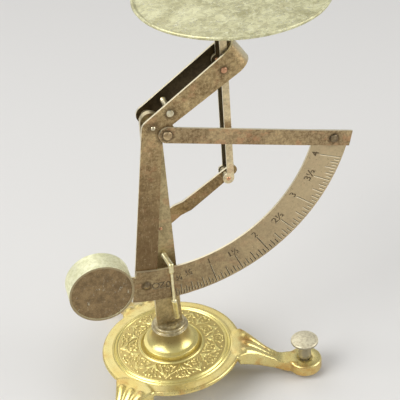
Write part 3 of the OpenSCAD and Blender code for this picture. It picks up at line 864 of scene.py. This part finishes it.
def turned(
    name: str,
    profile: Sequence[tuple[float, float]],
    origin: Vector,
    along: Vector,
    steps: int,
    wander: Callable[[float, float, float], float] | None = None,
) -> bpy.types.Mesh:
    """Turns a closed outline round a line.

    Args:
        name: The mesh's name.
        profile: Radius and height of each point, in millimetres.
        origin: Where the heights start from.
        along: The line's direction.
        steps: Points round each ring.
        wander: Extra height at a radius, height and angle, or None.

    Returns:
        The closed mesh.
    """
    across = Vector((1.0, 0.0, 0.0))
    third = along.cross(across)
    work = bmesh.new()
    rings = []
    for r, h in profile:
        ring = []
        for i in range(steps if r > 0 else 1):
            turn = 2 * math.pi * i / steps
            lift = wander(r, h, turn) if wander else 0.0
            place = across * (r * math.cos(turn)) + third * (r * math.sin(turn))
            ring.append(work.verts.new(origin + (place + along * (h + lift)) * MM))
        rings.append(ring)
    follow = rings[1:] + ([] if profile[0][0] == 0 else rings[:1])
    for a, b in zip(rings, follow):
        for i in range(steps):
            j = (i + 1) % steps
            if len(a) == 1:
                work.faces.new((a[0], b[i], b[j]))
            elif len(b) == 1:
                work.faces.new((a[i], a[j], b[0]))
            else:
                work.faces.new((a[i], a[j], b[j], b[i]))
    return closed_mesh(work, name)


@dataclass(frozen=True)
class RivetHead:
    """A hammered head on a pin or rivet that the CAD gives its place and length."""

    node: str
    radius: float
    rise: float
    slot: str
    shank: float = 0.9
    flat: float = 0.35
    proud: float = 0.0

    def build(self, finish: bpy.types.Material) -> None:
        """Makes the rivet and puts it in its node's place.

        Args:
            finish: Its finish.
        """
        low, high = (Vector(corner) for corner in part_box(self.node))
        deep = (high.y - low.y) / MM + self.proud
        profile = [(0.0, 0.0)]
        for i in range(1, 9):
            turn = math.pi / 2 * i / 8
            wide = self.flat + (1 - self.flat) * math.sin(turn)
            profile.append((self.radius * wide, self.rise * (1 - math.cos(turn))))
        profile += [(self.radius, self.rise + 0.15), (self.shank, self.rise + 0.2)]
        profile += [(self.shank, deep - 0.5), (self.radius * 0.9, deep - 0.45)]
        profile += [(self.radius * 0.75, deep - 0.12), (self.radius * 0.4, deep), (0.0, deep)]
        middle = Vector(((low.x + high.x) / 2, low.y - self.proud * MM, (low.z + high.z) / 2))
        mesh = turned(self.node + "_hammered", profile, middle, BACK, 40)
        mesh.materials.append(finish)
        piece = add_piece(self.node + "_hammered", mesh, "beam")
        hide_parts(self.node)


# Base ---------------------------------------------------------------------------------


# Petals of the band's leaves: middle, half length, half width, lean. Berries: middle, radius.
PETALS = (
    (0.0, -2.1, 1.9, 0.62, 0.0),
    (-1.15, -1.75, 1.6, 0.55, 0.55),
    (1.15, -1.75, 1.6, 0.55, -0.55),
    (-2.0, -0.75, 1.35, 0.5, 1.15),
    (2.0, -0.75, 1.35, 0.5, -1.15),
    (-3.3, 2.3, 1.1, 0.45, 0.8),
    (3.3, 2.6, 1.1, 0.45, -0.8),
    (-3.4, -2.9, 0.9, 0.4, 1.2),
    (-2.3, 3.5, 0.9, 0.36, -0.9),
    (2.2, 3.7, 0.9, 0.36, 0.9),
    (-2.6, 0.9, 0.8, 0.34, 0.2),
    (2.7, 0.9, 0.8, 0.34, -0.2),
)
BERRIES = ((0.0, 3.3, 0.75), (-1.5, 3.6, 0.5), (1.5, 3.5, 0.5), (2.6, -3.5, 0.45))
# The crown's rings: first radius, gap, first number and the one past the last.
SPACING = ((6.0, 0.0, 0, 1), (6.5, 0.3, 0, 20), (12.4, 0.12, 0, 22), (15.0, 0.135, 1, 71))
SPACING += ((24.55, 0.12, 0, 27),)
UNDERSIDE = (27.2, 25.0, 20.0, 15.5, 13.4, 11.0, 9.5, 8.0, 7.0, 6.0)


@dataclass
class Base:
    """The footed base: one casting with a chased leaf relief round its cone."""

    frame: dict
    finishes: Finishes
    margin_z: float = 18.4
    seat_z: float = 29.8
    seat_r: float = 6.5
    cone_r: float = 12.4
    cone_z: float = 22.3
    band_z: float = 20.0
    foot_ring_r: float = 14.2
    ring_in: float = 25.3
    ring_out: float = 26.7
    edge_r: float = 27.7
    leaf_in: float = 15.0
    leaf_out: float = 24.4
    leaf_rise: float = 0.55
    leaves: int = 18
    leaf_share: float = 0.84
    steps: int = 620
    collar_r: float = 8.4
    screw_leg: float = -16.0
    foot_reach: float = 60.7
    boss_growth: float = 1.2
    boss_hole: float = 3.6
    boss_end: float = 14.0
    collar_top_z: float = 32.6
    voxel: float = 0.4

    def build(self) -> None:
        """Makes the casting, its crown and its collar."""
        dress(self.frame, self.finishes.rivet, "base_washer", "base_nut")
        self._casting()
        self._crown()
        self._collar()

    def _casting(self) -> None:
        """Softens the CAD casting's edges into the flowing forms of a real one."""
        mesh = welded(self.frame["nodes"]["base_casting"].data.copy())
        source = linked("casting_source", mesh)
        remesh = source.modifiers.new("remesh", "REMESH")
        remesh.mode = "VOXEL"
        remesh.voxel_size = self.voxel * MM
        remesh.use_smooth_shade = True
        smooth = source.modifiers.new("smooth", "SMOOTH")
        smooth.factor = 0.5
        smooth.iterations = 12
        done = applied(source, "base_casting_soft")
        reach = math.radians(self.screw_leg)
        boss = AXIS + Vector((math.cos(reach), math.sin(reach), 0.0)) * self.foot_reach * MM
        for vert in done.vertices:
            out = Vector((vert.co.x - boss.x, vert.co.y - boss.y, 0.0))
            far = out.length / MM
            if self.boss_hole < far < self.boss_end:
                grow = min(1.0, (far - self.boss_hole) / 2.6)
                grow *= min(1.0, (self.boss_end - far) / 6.0)
                vert.co += out.normalized() * (self.boss_growth * grow * MM)
            place = vert.co - AXIS
            radius = math.hypot(place.x, place.y) / MM
            over = place.z / MM - (self.profile(radius) - 1.2)
            if over > 0 and radius < self.edge_r - 0.5:
                vert.co.z -= 0.7 * MM * min(1.0, (self.edge_r - 0.5 - radius) / 0.6)
        done.materials.clear()
        done.materials.append(self.finishes.cast)
        piece = add_piece("base_casting_soft", done, "stand")
        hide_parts("base_casting")

    def profile(self, r: float) -> float:
        """Height of the crown's ground.

        Args:
            r: Radius from the post's axis.

        Returns:
            The height there.
        """
        if r <= self.cone_r:
            share = max(0.0, (r - self.seat_r) / (self.cone_r - self.seat_r))
            height = self.cone_z + (self.seat_z - self.cone_z) * (1 - share) ** 2
            height += 0.13 * math.exp(-(((r - 11.5) / 0.28) ** 2))
        elif r <= self.cone_r + 0.8:
            drop = (r - self.cone_r) / 0.8
            drop = drop * drop * (3 - 2 * drop)
            height = self.cone_z + (self.band_z - 0.25 - self.cone_z) * drop
        elif r <= self.ring_in:
            share = (r - self.cone_r - 0.8) / (self.ring_in - self.cone_r - 0.8)
            height = self.band_z - 0.25 * math.exp(-share * 25) - 1.05 * share**1.4
        else:
            share = min(1.0, (r - self.ring_in) / (self.edge_r - 0.3 - self.ring_in))
            height = self.band_z - 1.05 + (self.margin_z - self.band_z + 1.05) * share
        for middle, rise, wide in (
            (self.foot_ring_r, 0.5, 0.45),
            (self.leaf_out + 0.25, -0.12, 0.18),
            (self.ring_in, 0.42, 0.36),
            ((self.ring_in + self.ring_out) / 2, -0.1, 0.25),
            (self.ring_out, 0.46, 0.38),
        ):
            height += rise * math.exp(-(((r - middle) / wide) ** 2))
        return height

    def _leaf(self, r: float, angle: float) -> float:
        """Relief of the leaf band.

        Args:
            r: Radius from the post's axis.
            angle: Turn round it, in radians.

        Returns:
            The relief, from 0 on the band's ground to 1 on its crests.
        """
        deep = self.leaf_out - self.leaf_in
        span = (r - self.leaf_in) / deep
        turn = angle * self.leaves / (2 * math.pi)
        stem = 0.5 + 0.2 * math.sin(turn * math.pi)
        lift = max(0.0, 0.8 - abs(span - stem) / 0.05)
        arc = 2 * math.pi * r / self.leaves
        for cell in (math.floor(turn) - 1, math.floor(turn), math.floor(turn) + 1):
            flip = 1 if cell % 2 else -1
            across_cell = (turn - cell - 0.5) * arc / self.leaf_share
            tall = (span - 0.5) * flip * deep
            for px, py, long, wide, lean in PETALS:
                dx, dy = across_cell - px, tall - py
                along = dy * math.cos(lean) - dx * math.sin(lean)
                across = dx * math.cos(lean) + dy * math.sin(lean)
                if abs(along) < long:
                    edge = wide * math.sqrt(1 - (along / long) ** 2)
                    if abs(across) < edge:
                        dome = math.sqrt(1 - (across / edge) ** 2)
                        lift = max(lift, dome - 0.4 * math.exp(-((across / 0.12) ** 2)))
            for px, py, size in BERRIES:
                far = math.hypot(across_cell - px, tall - py) / size
                if far < 1:
                    ring = 1 - abs(far - 0.62) / 0.38
                    lift = max(lift, ring if size > 0.6 else math.sqrt(1 - far * far))
            curl = math.hypot(across_cell - 0.3, tall - 1.7)
            lift = max(lift, 0.9 - abs(curl - 1.0) / 0.26)
        edge = min(span, 1 - span) * deep
        return min(1.0, lift) * min(1.0, edge / 0.25)

    def _crown(self) -> None:
        """The turned and chased top of the casting, a closed ring on the casting."""
        radii = [first + i * gap for first, gap, low, high in SPACING for i in range(low, high)]
        steps = self.steps
        angles = [2 * math.pi * i / steps for i in range(steps)]
        turns = [(math.cos(angle), math.sin(angle)) for angle in angles]
        work = bmesh.new()
        mark = work.verts.layers.float.new("relief")

        def ring(r: float, heights: list[float], lifts: list[float]) -> list:
            """Adds a ring of points.

            Args:
                r: The ring's radius.
                heights: Height of each point.
                lifts: Relief of each point.

            Returns:
                The points.
            """
            made = []
            for (c, s), z, lift in zip(turns, heights, lifts):
                vert = work.verts.new(AXIS + Vector((r * c, r * s, z)) * MM)
                vert[mark] = lift
                made.append(vert)
            return made

        rings = []
        for r in radii:
            banded = self.leaf_in < r < self.leaf_out
            ground = self.profile(r) - (0.25 if r > self.edge_r - 0.1 else 0.0)
            lifts = [self._leaf(r, angle) if banded else 0.0 for angle in angles]
            heights = [ground + self.leaf_rise * lift for lift in lifts]
            rings.append(ring(r, heights, lifts if banded else [0.8] * steps))
        for r in UNDERSIDE:
            rings.append(ring(r, [self.profile(r) - 0.9] * steps, [0.8] * steps))
        for a, b in zip(rings, rings[1:] + rings[:1]):
            for i in range(steps):
                j = (i + 1) % steps
                work.faces.new((a[i], b[i], b[j], a[j]))
        mesh = closed_mesh(work, "base_crown")
        mesh.materials.append(self.finishes.relief)
        add_piece("base_crown", mesh, "stand")

    def _collar(self) -> None:
        """The turned collar with its lip, and the rough solder round the post's foot."""
        top, seat = self.collar_top_z, self.seat_z
        profile = [(2.0, seat + 0.1), (6.3, seat + 0.1)]
        for i in range(11):
            turn = math.pi * (i / 10 - 0.5)
            r = self.collar_r - 0.5 + 0.5 * math.cos(turn)
            profile.append((r, seat + 0.55 + 0.5 * math.sin(turn)))
        profile += [(7.75, seat + 1.15), (7.55, seat + 1.35), (7.5, seat + 1.7)]
        for i in range(9):
            turn = math.pi / 2 * i / 8
            profile.append((6.7 + 0.8 * math.cos(turn), top - 0.8 + 0.8 * math.sin(turn)))
        profile += [(6.1, top - 0.05), (5.6, top), (5.0, top + 0.25)]
        profile += [(4.2, top + 0.5), (2.0, top + 0.5)]

        def solder(r: float, height: float, turn: float) -> float:
            """Unevenness of the solder inside the collar.

            Args:
                r: Radius from the post's axis.
                height: Height above the seat.
                turn: Angle, in radians.

            Returns:
                The extra height.
            """
            if not 3.0 < r < 5.9 or height < 2.0:
                return 0.0
            return 0.35 * noise.noise(Vector((3 * math.cos(turn), 3 * math.sin(turn), r)))

        at_zero = [(r, z - seat) for r, z in profile]
        origin = AXIS + Vector((0.0, 0.0, seat)) * MM
        mesh = turned("post_collar_turned", at_zero, origin, UP, 144, solder)
        mesh.materials.append(self.finishes.collar)
        piece = add_piece("post_collar_turned", mesh, "stand")
        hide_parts("post_collar")


# Dial ---------------------------------------------------------------------------------


@dataclass(frozen=True)
class Numeral:
    """One engraved word: what it says, its load or angle, its radius and its height."""

    words: str
    radius: float
    height: float
    load: float | None = None
    angle_deg: float = 0.0


@dataclass
class Dial:
    """The quadrant with its ticks and numerals, which follow the balance's own law."""

    frame: dict
    finishes: Finishes
    face_y: float = -7.5
    outer_r: float = 84.9
    law_gain: float = 3.736
    law_lag: float = 38.0
    zero: float = 0.7
    groove_w: float = 0.56
    groove_d: float = 0.32
    letter_d: float = 0.28
    full_oz: int = 4
    per_oz: int = 16
    early_cut: float = 0.35
    lengths: tuple[float, float, float, float, float] = (10.0, 8.2, 5.4, 3.9, 2.7)
    numerals: tuple[Numeral, ...] = (
        Numeral("O", 77.8, 3.3, None, -4.2),
        Numeral("Z", 77.8, 3.2, None, -2.1),
        Numeral("0", 78.2, 3.4, None, -0.1),
        Numeral("¼", 76.0, 3.0, 0.25),
        Numeral("½", 74.7, 3.2, 0.5),
        Numeral("1", 72.9, 3.0, 1.0),
        Numeral("1½", 74.7, 3.1, 1.5),
        Numeral("2", 73.3, 3.0, 2.0),
        Numeral("2½", 74.7, 3.2, 2.5),
        Numeral("3", 73.0, 3.1, 3.0),
        Numeral("3½", 74.7, 3.3, 3.5),
        Numeral("4", 73.0, 3.3, 4.0),
    )

    def angle(self, load: float) -> float:
        """Angle of a load's mark from plumb, in radians."""
        lag = math.radians(self.law_lag)
        return math.radians(self.zero) + math.atan2(
            load * math.cos(lag), self.law_gain - load * math.sin(lag)
        )

    def build(self) -> None:
        """Engraves the CAD quadrant and puts the result in its place."""
        cutter = self._cutter()
        mesh = welded(self.frame["nodes"]["quadrant"].data.copy())
        mesh.materials.clear()
        mesh.materials.append(self.finishes.dial)
        source = linked("quadrant_source", mesh)
        cut = source.modifiers.new("engrave", "BOOLEAN")
        cut.operation = "DIFFERENCE"
        cut.solver = "EXACT"
        cut.use_self = True
        cut.material_mode = "TRANSFER"
        cut.object = cutter
        done = applied(source, "quadrant_engraved")
        bpy.data.objects.remove(cutter)
        sides = [
            0 if side.material_index == 0 else self._wall(side.normal).value
            for side in done.polygons
        ]
        done.materials.clear()
        for finish in (self.finishes.dial, *(self.finishes.marks[wall] for wall in Wall)):
            done.materials.append(finish)
        done.polygons.foreach_set("material_index", sides)
        piece = add_piece("quadrant_engraved", done, "beam")
        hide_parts("quadrant")

    def _wall(self, normal: Vector) -> Wall:
        """Which side of a groove a face is, from the way it faces: walls facing up and left get
        the painted highlight, the other walls painted shade, and faces towards the reader are the
        floor.
        """
        if normal.y < -0.98:
            return Wall.FLOOR
        return Wall.LIT if normal.dot(Vector((-0.6, 0.0, 0.8))) > 0.0 else Wall.DARK

    def _cutter(self) -> bpy.types.Object:
        """Gathers all grooves.

        Returns:
            One object of closed cutters.
        """
        work = bmesh.new()
        work.from_mesh(self._ticks())
        for number, numeral in enumerate(self.numerals):
            work.from_mesh(self._word("numeral_%d" % number, numeral))
        mesh = bpy.data.meshes.new("grooves")
        work.to_mesh(mesh)
        work.free()
        mesh.materials.append(self.finishes.marks[Wall.DARK])
        return linked("grooves", mesh)

    def _ticks(self) -> bpy.types.Mesh:
        """Draws every tick's groove from the law in a Geometry Nodes tree.

        Returns:
            The cutters of all ticks.
        """
        tree = bpy.data.node_groups.new("dial_ticks", "GeometryNodeTree")
        face = tree.interface
        sizes = {
            "Outer Radius": self.outer_r * MM,
            "Groove Width": self.groove_w * MM,
            "Groove Depth": self.groove_d * MM,
            "Gain": self.law_gain,
            "Lag": math.radians(self.law_lag),
            "Zero": math.radians(self.zero),
        }
        for key in sizes:
            face.new_socket(key, in_out="INPUT", socket_type="NodeSocketFloat")
        face.new_socket("Geometry", in_out="OUTPUT", socket_type="NodeSocketGeometry")
        start = tree.nodes.new("NodeGroupInput")
        end = tree.nodes.new("NodeGroupOutput")

        def add(kind: str, values: dict | None = None, **settings: object) -> bpy.types.Node:
            """Adds a node.

            Args:
                kind: The node's type.
                values: Values or links of its inputs.
                settings: Its properties.

            Returns:
                The node.
            """
            made = tree.nodes.new(kind)
            for key, setting in settings.items():
                setattr(made, key, setting)
            for key, value in (values or {}).items():
                if isinstance(value, bpy.types.NodeSocket):
                    tree.links.new(value, made.inputs[key])
                else:
                    made.inputs[key].default_value = value
            return made

        def maths(operation: str, *operands: object) -> bpy.types.NodeSocket:
            """Adds a Math node and returns its result."""
            return add("ShaderNodeMath", dict(enumerate(operands)), operation=operation).outputs[0]

        points = add("GeometryNodePoints", {"Count": self.full_oz * self.per_oz + 1})
        index = add("GeometryNodeInputIndex").outputs[0]
        load = maths("DIVIDE", index, float(self.per_oz))
        lag = start.outputs["Lag"]
        rise = maths("MULTIPLY", load, maths("COSINE", lag))
        run = maths("SUBTRACT", start.outputs["Gain"], maths("MULTIPLY", load, maths("SINE", lag)))
        angle = maths("ADD", maths("ARCTAN2", rise, run), start.outputs["Zero"])
        whole, half, quarter, eighth, short = (length * MM for length in self.lengths)

        def divides(step: float) -> bpy.types.NodeSocket:
            """1 where the index is a multiple of step, else 0."""
            return maths("LESS_THAN", maths("MODULO", maths("ADD", index, 0.25), step), 0.5)

        length = short
        for step, less, more in (
            (2.0, short, eighth),
            (4.0, eighth, quarter),
            (8.0, quarter, half),
            (16.0, half, whole),
        ):
            length = maths("ADD", length, maths("MULTIPLY", divides(step), more - less))
        early = maths("MULTIPLY", maths("LESS_THAN", index, self.per_oz - 0.5), divides(8.0))
        kept = maths("SUBTRACT", 1.0, maths("MULTIPLY", early, self.early_cut))
        length = maths("MULTIPLY", length, kept)
        radius = maths("SUBTRACT", start.outputs["Outer Radius"], maths("DIVIDE", length, 2.0))
        x = maths("MULTIPLY", radius, maths("SINE", angle))
        z = maths("MULTIPLY", radius, maths("MULTIPLY", maths("COSINE", angle), -1.0))
        middle = PIVOT + BACK * self.face_y * MM
        place = add("ShaderNodeCombineXYZ", {"X": x, "Z": z}).outputs[0]
        place = add(
            "ShaderNodeVectorMath", {0: place, 1: tuple(middle)}, operation="ADD"
        ).outputs[0]
        placed = add("GeometryNodeSetPosition", {"Geometry": points.outputs[0], "Position": place})
        turn = add("ShaderNodeCombineXYZ", {"Y": maths("MULTIPLY", angle, -1.0)}).outputs[0]
        across = maths("MULTIPLY", start.outputs["Groove Width"], math.sqrt(0.5))
        deep = maths("MULTIPLY", start.outputs["Groove Depth"], math.sqrt(2.0))
        scale = add("ShaderNodeCombineXYZ", {"X": across, "Y": deep, "Z": length}).outputs[0]
        bar = add("GeometryNodeMeshCube", {"Size": (1.0, 1.0, 1.0)})
        diamond = add(
            "GeometryNodeTransform",
            {"Geometry": bar.outputs[0], "Rotation": (0.0, 0.0, math.pi / 4)},
        )
        many = add(
            "GeometryNodeInstanceOnPoints",
            {
                "Points": placed.outputs[0],
                "Instance": diamond.outputs[0],
                "Rotation": turn,
                "Scale": scale,
            },
        )
        real = add("GeometryNodeRealizeInstances", {"Geometry": many.outputs[0]})
        finish = self.finishes.marks[Wall.DARK]
        dark = add("GeometryNodeSetMaterial", {"Geometry": real.outputs[0], "Material": finish})
        tree.links.new(dark.outputs[0], end.inputs[0])

        source = linked("dial_ticks_source", bpy.data.meshes.new("dial_ticks"))
        modifier = source.modifiers.new("ticks", "NODES")
        modifier.node_group = tree
        for item in face.items_tree:
            if item.in_out == "INPUT" and item.name in sizes:
                modifier[item.identifier] = sizes[item.name]
        return applied(source, "dial_ticks")

    def _word(self, name: str, numeral: Numeral) -> bpy.types.Mesh:
        """Cutter of one word, with its top towards the pivot.

        Args:
            name: The mesh's name.
            numeral: What it says and where.

        Returns:
            The closed cutter.
        """
        angle = math.radians(numeral.angle_deg)
        if numeral.load is not None:
            angle = self.angle(numeral.load)
        curve = bpy.data.curves.new(name, "FONT")
        curve.body = numeral.words
        curve.size = numeral.height / 0.7 * MM
        curve.space_character = 0.92
        curve.align_x = "CENTER"
        curve.align_y = "CENTER"
        curve.extrude = self.letter_d * MM
        curve.offset = 0.03 * numeral.height * MM
        curve.resolution_u = 3
        mesh = applied(linked(name + "_source", curve), name)
        upright = Matrix.Rotation(math.pi / 2, 4, "X")
        leaning = Matrix.Rotation(-angle, 4, "Y")
        spot = PIVOT + MM * Vector(
            (numeral.radius * math.sin(angle), self.face_y, -numeral.radius * math.cos(angle))
        )
        mesh.transform(Matrix.Translation(spot) @ leaning @ upright)
        return welded(mesh, 1e-7, outward=True)


# The other sub-assemblies --------------------------------------------------------------


@dataclass
class Stand:
    """Post, link, pointer and levelling screw."""

    frame: dict
    finishes: Finishes
    shoulder_z: float = 8.9
    pitch: float = 0.7
    head_r: float = 6.3
    rim_z: float = 17.9
    crown: float = 1.0

    def build(self) -> None:
        """Dresses the stand."""
        f = self.finishes
        dress(self.frame, f.post, "post")
        dress(self.frame, f.link, "lower_link")
        dress(self.frame, f.wire, "pointer_wire")
        dress(self.frame, f.bright, "pivot_pin")
        dress(self.frame, f.collar, "pivot_spacer_front", "pivot_spacer_back", "link_post_washer")
        dress(self.frame, f.copper, "link_post_pin")
        self._screw()

    def _screw(self) -> None:
        """The levelling screw: threaded end, waisted stem and mushroom head."""
        profile = [(0.0, 0.0), (1.2, 0.0), (1.95, 0.8)]
        for turn in range(int((self.shoulder_z - 1.4) / self.pitch)):
            foot = 1.1 + turn * self.pitch
            profile += [(1.72, foot), (1.98, foot + self.pitch / 2)]
        profile += [(1.9, self.shoulder_z - 0.2), (2.9, self.shoulder_z), (3.05, 9.4)]
        profile += [(2.85, 11.0), (2.65, 13.2), (2.75, 15.2), (3.3, 16.4), (4.9, 16.9)]
        for i in range(9):
            turn = math.pi * (i / 8 - 0.45)
            r = self.head_r - 0.75 + 0.75 * math.cos(turn)
            profile.append((r, self.rim_z + 0.9 * math.sin(turn)))
        inner = self.head_r - 1.0
        for i in range(1, 9):
            r = inner * (1 - i / 8)
            profile.append((r, self.rim_z + 1.0 + self.crown * (1 - (r / inner) ** 2)))
        low, high = (Vector(corner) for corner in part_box("levelling_screw"))
        foot = Vector(((low.x + high.x) / 2, (low.y + high.y) / 2, 0.0))
        mesh = turned("levelling_screw_turned", profile, foot, UP, 72)
        mesh.materials.append(self.finishes.screw)
        piece = add_piece("levelling_screw_turned", mesh, "screw")
        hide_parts("levelling_screw")


@dataclass
class Beam:
    """Forked beam with spoke, quadrant and counterweight."""

    frame: dict
    finishes: Finishes

    def build(self) -> None:
        """Dresses the beam."""
        f = self.finishes
        dress(self.frame, f.lever, "beam_lever")
        dress(self.frame, f.spoke, "spoke")
        dress(self.frame, f.rivet, "counterweight_rivet")
        sheet = "aged_brass"
        RivetHead("spoke_rivet_inner", 2.2, 1.15, sheet, flat=0.15, proud=0.4).build(f.rivet)
        RivetHead("spoke_rivet_outer", 1.95, 0.95, sheet, flat=0.2, proud=0.2).build(f.dark_rivet)
        RivetHead("cross_pin", 1.65, 0.6, "bright_pin", 1.2).build(f.bright_head)
        RivetHead("pan_pin", 1.45, 0.6, "copper_pin").build(f.copper)
        dress(self.frame, f.dark_rivet, "quadrant_rivet")
        dress(self.frame, f.case, "counterweight_case")
        dress(self.frame, f.core, "counterweight_core")
        dress(self.frame, f.collar, "pan_pin_washer_front", "pan_pin_washer_back")


@dataclass
class PanAssembly:
    """Pan on its folded rod."""

    frame: dict
    finishes: Finishes

    def build(self) -> None:
        """Dresses pan and rod."""
        f = self.finishes
        dress(self.frame, f.rod, "pan_rod")
        dress(self.frame, f.pan, "pan", "pan_rivet")
        dress(self.frame, f.copper, "link_pin")
        dress(self.frame, f.collar, "link_pin_spacer_front", "link_pin_spacer_back")


# Studio -------------------------------------------------------------------------------


@dataclass(frozen=True)
class Lamp:
    """A soft square lamp: its place and side in metres, its power in watts."""

    name: str
    place: tuple[float, float, float]
    side: float
    watts: float


@dataclass
class Studio:
    """Floor, lamps and camera."""

    camera_at: tuple[float, float, float] = (-0.0921682, -0.4212793, 0.3805848)
    yaw: float = 0.222832
    pitch: float = -0.594685
    roll: float = -0.075901
    lens: float = 108.0829
    floor_colour: Colour = (0.72, 0.71, 0.69)
    surround: float = 0.33
    backdrop: float = 0.45
    sky: Colour = (0.92, 0.92, 0.93)
    floor_half: float = 8.0
    spread_deg: float = 130.0
    aim_at: tuple[float, float, float] = (0.0, 0.0, 0.08)
    lamps: tuple[Lamp, ...] = (
        Lamp("key", (-0.9, -0.2, 0.95), 1.0, 7.8),
        Lamp("fill", (1.0, -0.4, 0.65), 0.8, 3.7),
        Lamp("back", (-0.3, 1.1, 1.1), 1.4, 2.8),
    )

    def build(self) -> None:
        """Makes the studio."""
        bpy.context.scene.view_settings.view_transform = "Standard"
        self._camera()
        self._floor()
        self._world()
        for lamp in self.lamps:
            self._lamp(lamp)

    def _camera(self) -> None:
        """Puts the camera where the photograph was taken from."""
        forward = Vector(
            (
                math.sin(self.yaw) * math.cos(self.pitch),
                math.cos(self.yaw) * math.cos(self.pitch),
                math.sin(self.pitch),
            )
        )
        level = Vector((math.cos(self.yaw), -math.sin(self.yaw), 0.0))
        up = level.cross(forward)
        right = math.cos(self.roll) * level + math.sin(self.roll) * up
        top = -math.sin(self.roll) * level + math.cos(self.roll) * up
        data = bpy.data.cameras.new("camera")
        data.lens = self.lens
        data.sensor_width = 36.0
        data.clip_end = 20.0
        camera = linked("camera", data)
        turn = Matrix((right, top, -forward)).transposed().to_4x4()
        camera.matrix_world = Matrix.Translation(self.camera_at) @ turn
        bpy.context.scene.camera = camera

    def _floor(self) -> None:
        """A plain pale floor."""
        mesh = bpy.data.meshes.new("floor")
        far = self.floor_half
        mesh.from_pydata(
            [(-far, -far, 0), (far, -far, 0), (far, far, 0), (-far, far, 0)], [], [(0, 1, 2, 3)]
        )
        t = ShaderTree("floor")
        mesh.materials.append(t.surface(self.floor_colour, 0.95, 0.0))
        shader = next(node for node in t.nodes if node.type == "BSDF_PRINCIPLED")
        shader.inputs["Specular IOR Level"].default_value = 0.0
        floor = linked("floor", mesh)

    def _world(self) -> None:
        """A soft, even surround."""
        world = bpy.data.worlds.new("studio")
        world.use_nodes = True
        nodes, links = world.node_tree.nodes, world.node_tree.links
        back = nodes["Background"]
        back.inputs["Color"].default_value = (*self.sky, 1.0)
        path = nodes.new("ShaderNodeLightPath")
        seen = path.outputs["Is Camera Ray"]
        for ray in ("Is Glossy Ray", "Is Transmission Ray"):
            either = nodes.new("ShaderNodeMath")
            either.operation = "MAXIMUM"
            links.new(seen, either.inputs[0])
            links.new(path.outputs[ray], either.inputs[1])
            seen = either.outputs[0]
        strength = nodes.new("ShaderNodeMapRange")
        links.new(seen, strength.inputs["Value"])
        strength.inputs["To Min"].default_value = self.surround
        strength.inputs["To Max"].default_value = self.backdrop
        links.new(strength.outputs[0], back.inputs["Strength"])
        bpy.context.scene.world = world

    def _lamp(self, lamp: Lamp) -> None:
        """Adds a lamp that points at the scale.

        Args:
            lamp: Its name, place, side and power.
        """
        data = bpy.data.lights.new(lamp.name, "AREA")
        data.energy = lamp.watts
        data.size = lamp.side
        data.spread = math.radians(self.spread_deg)
        made = linked(lamp.name, data)
        made.location = lamp.place
        aim = Vector(self.aim_at) - Vector(lamp.place)
        made.rotation_euler = aim.to_track_quat("-Z", "Y").to_euler()


def main() -> None:
    """Builds the whole scene."""
    logging.basicConfig(level=logging.INFO, format="%(name)s: %(message)s")
    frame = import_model()
    Studio().build()
    finishes = Finishes()
    for assembly in (Base, Stand, Beam, Dial, PanAssembly):
        assembly(frame, finishes).build()


if __name__ == "__main__":
    main()
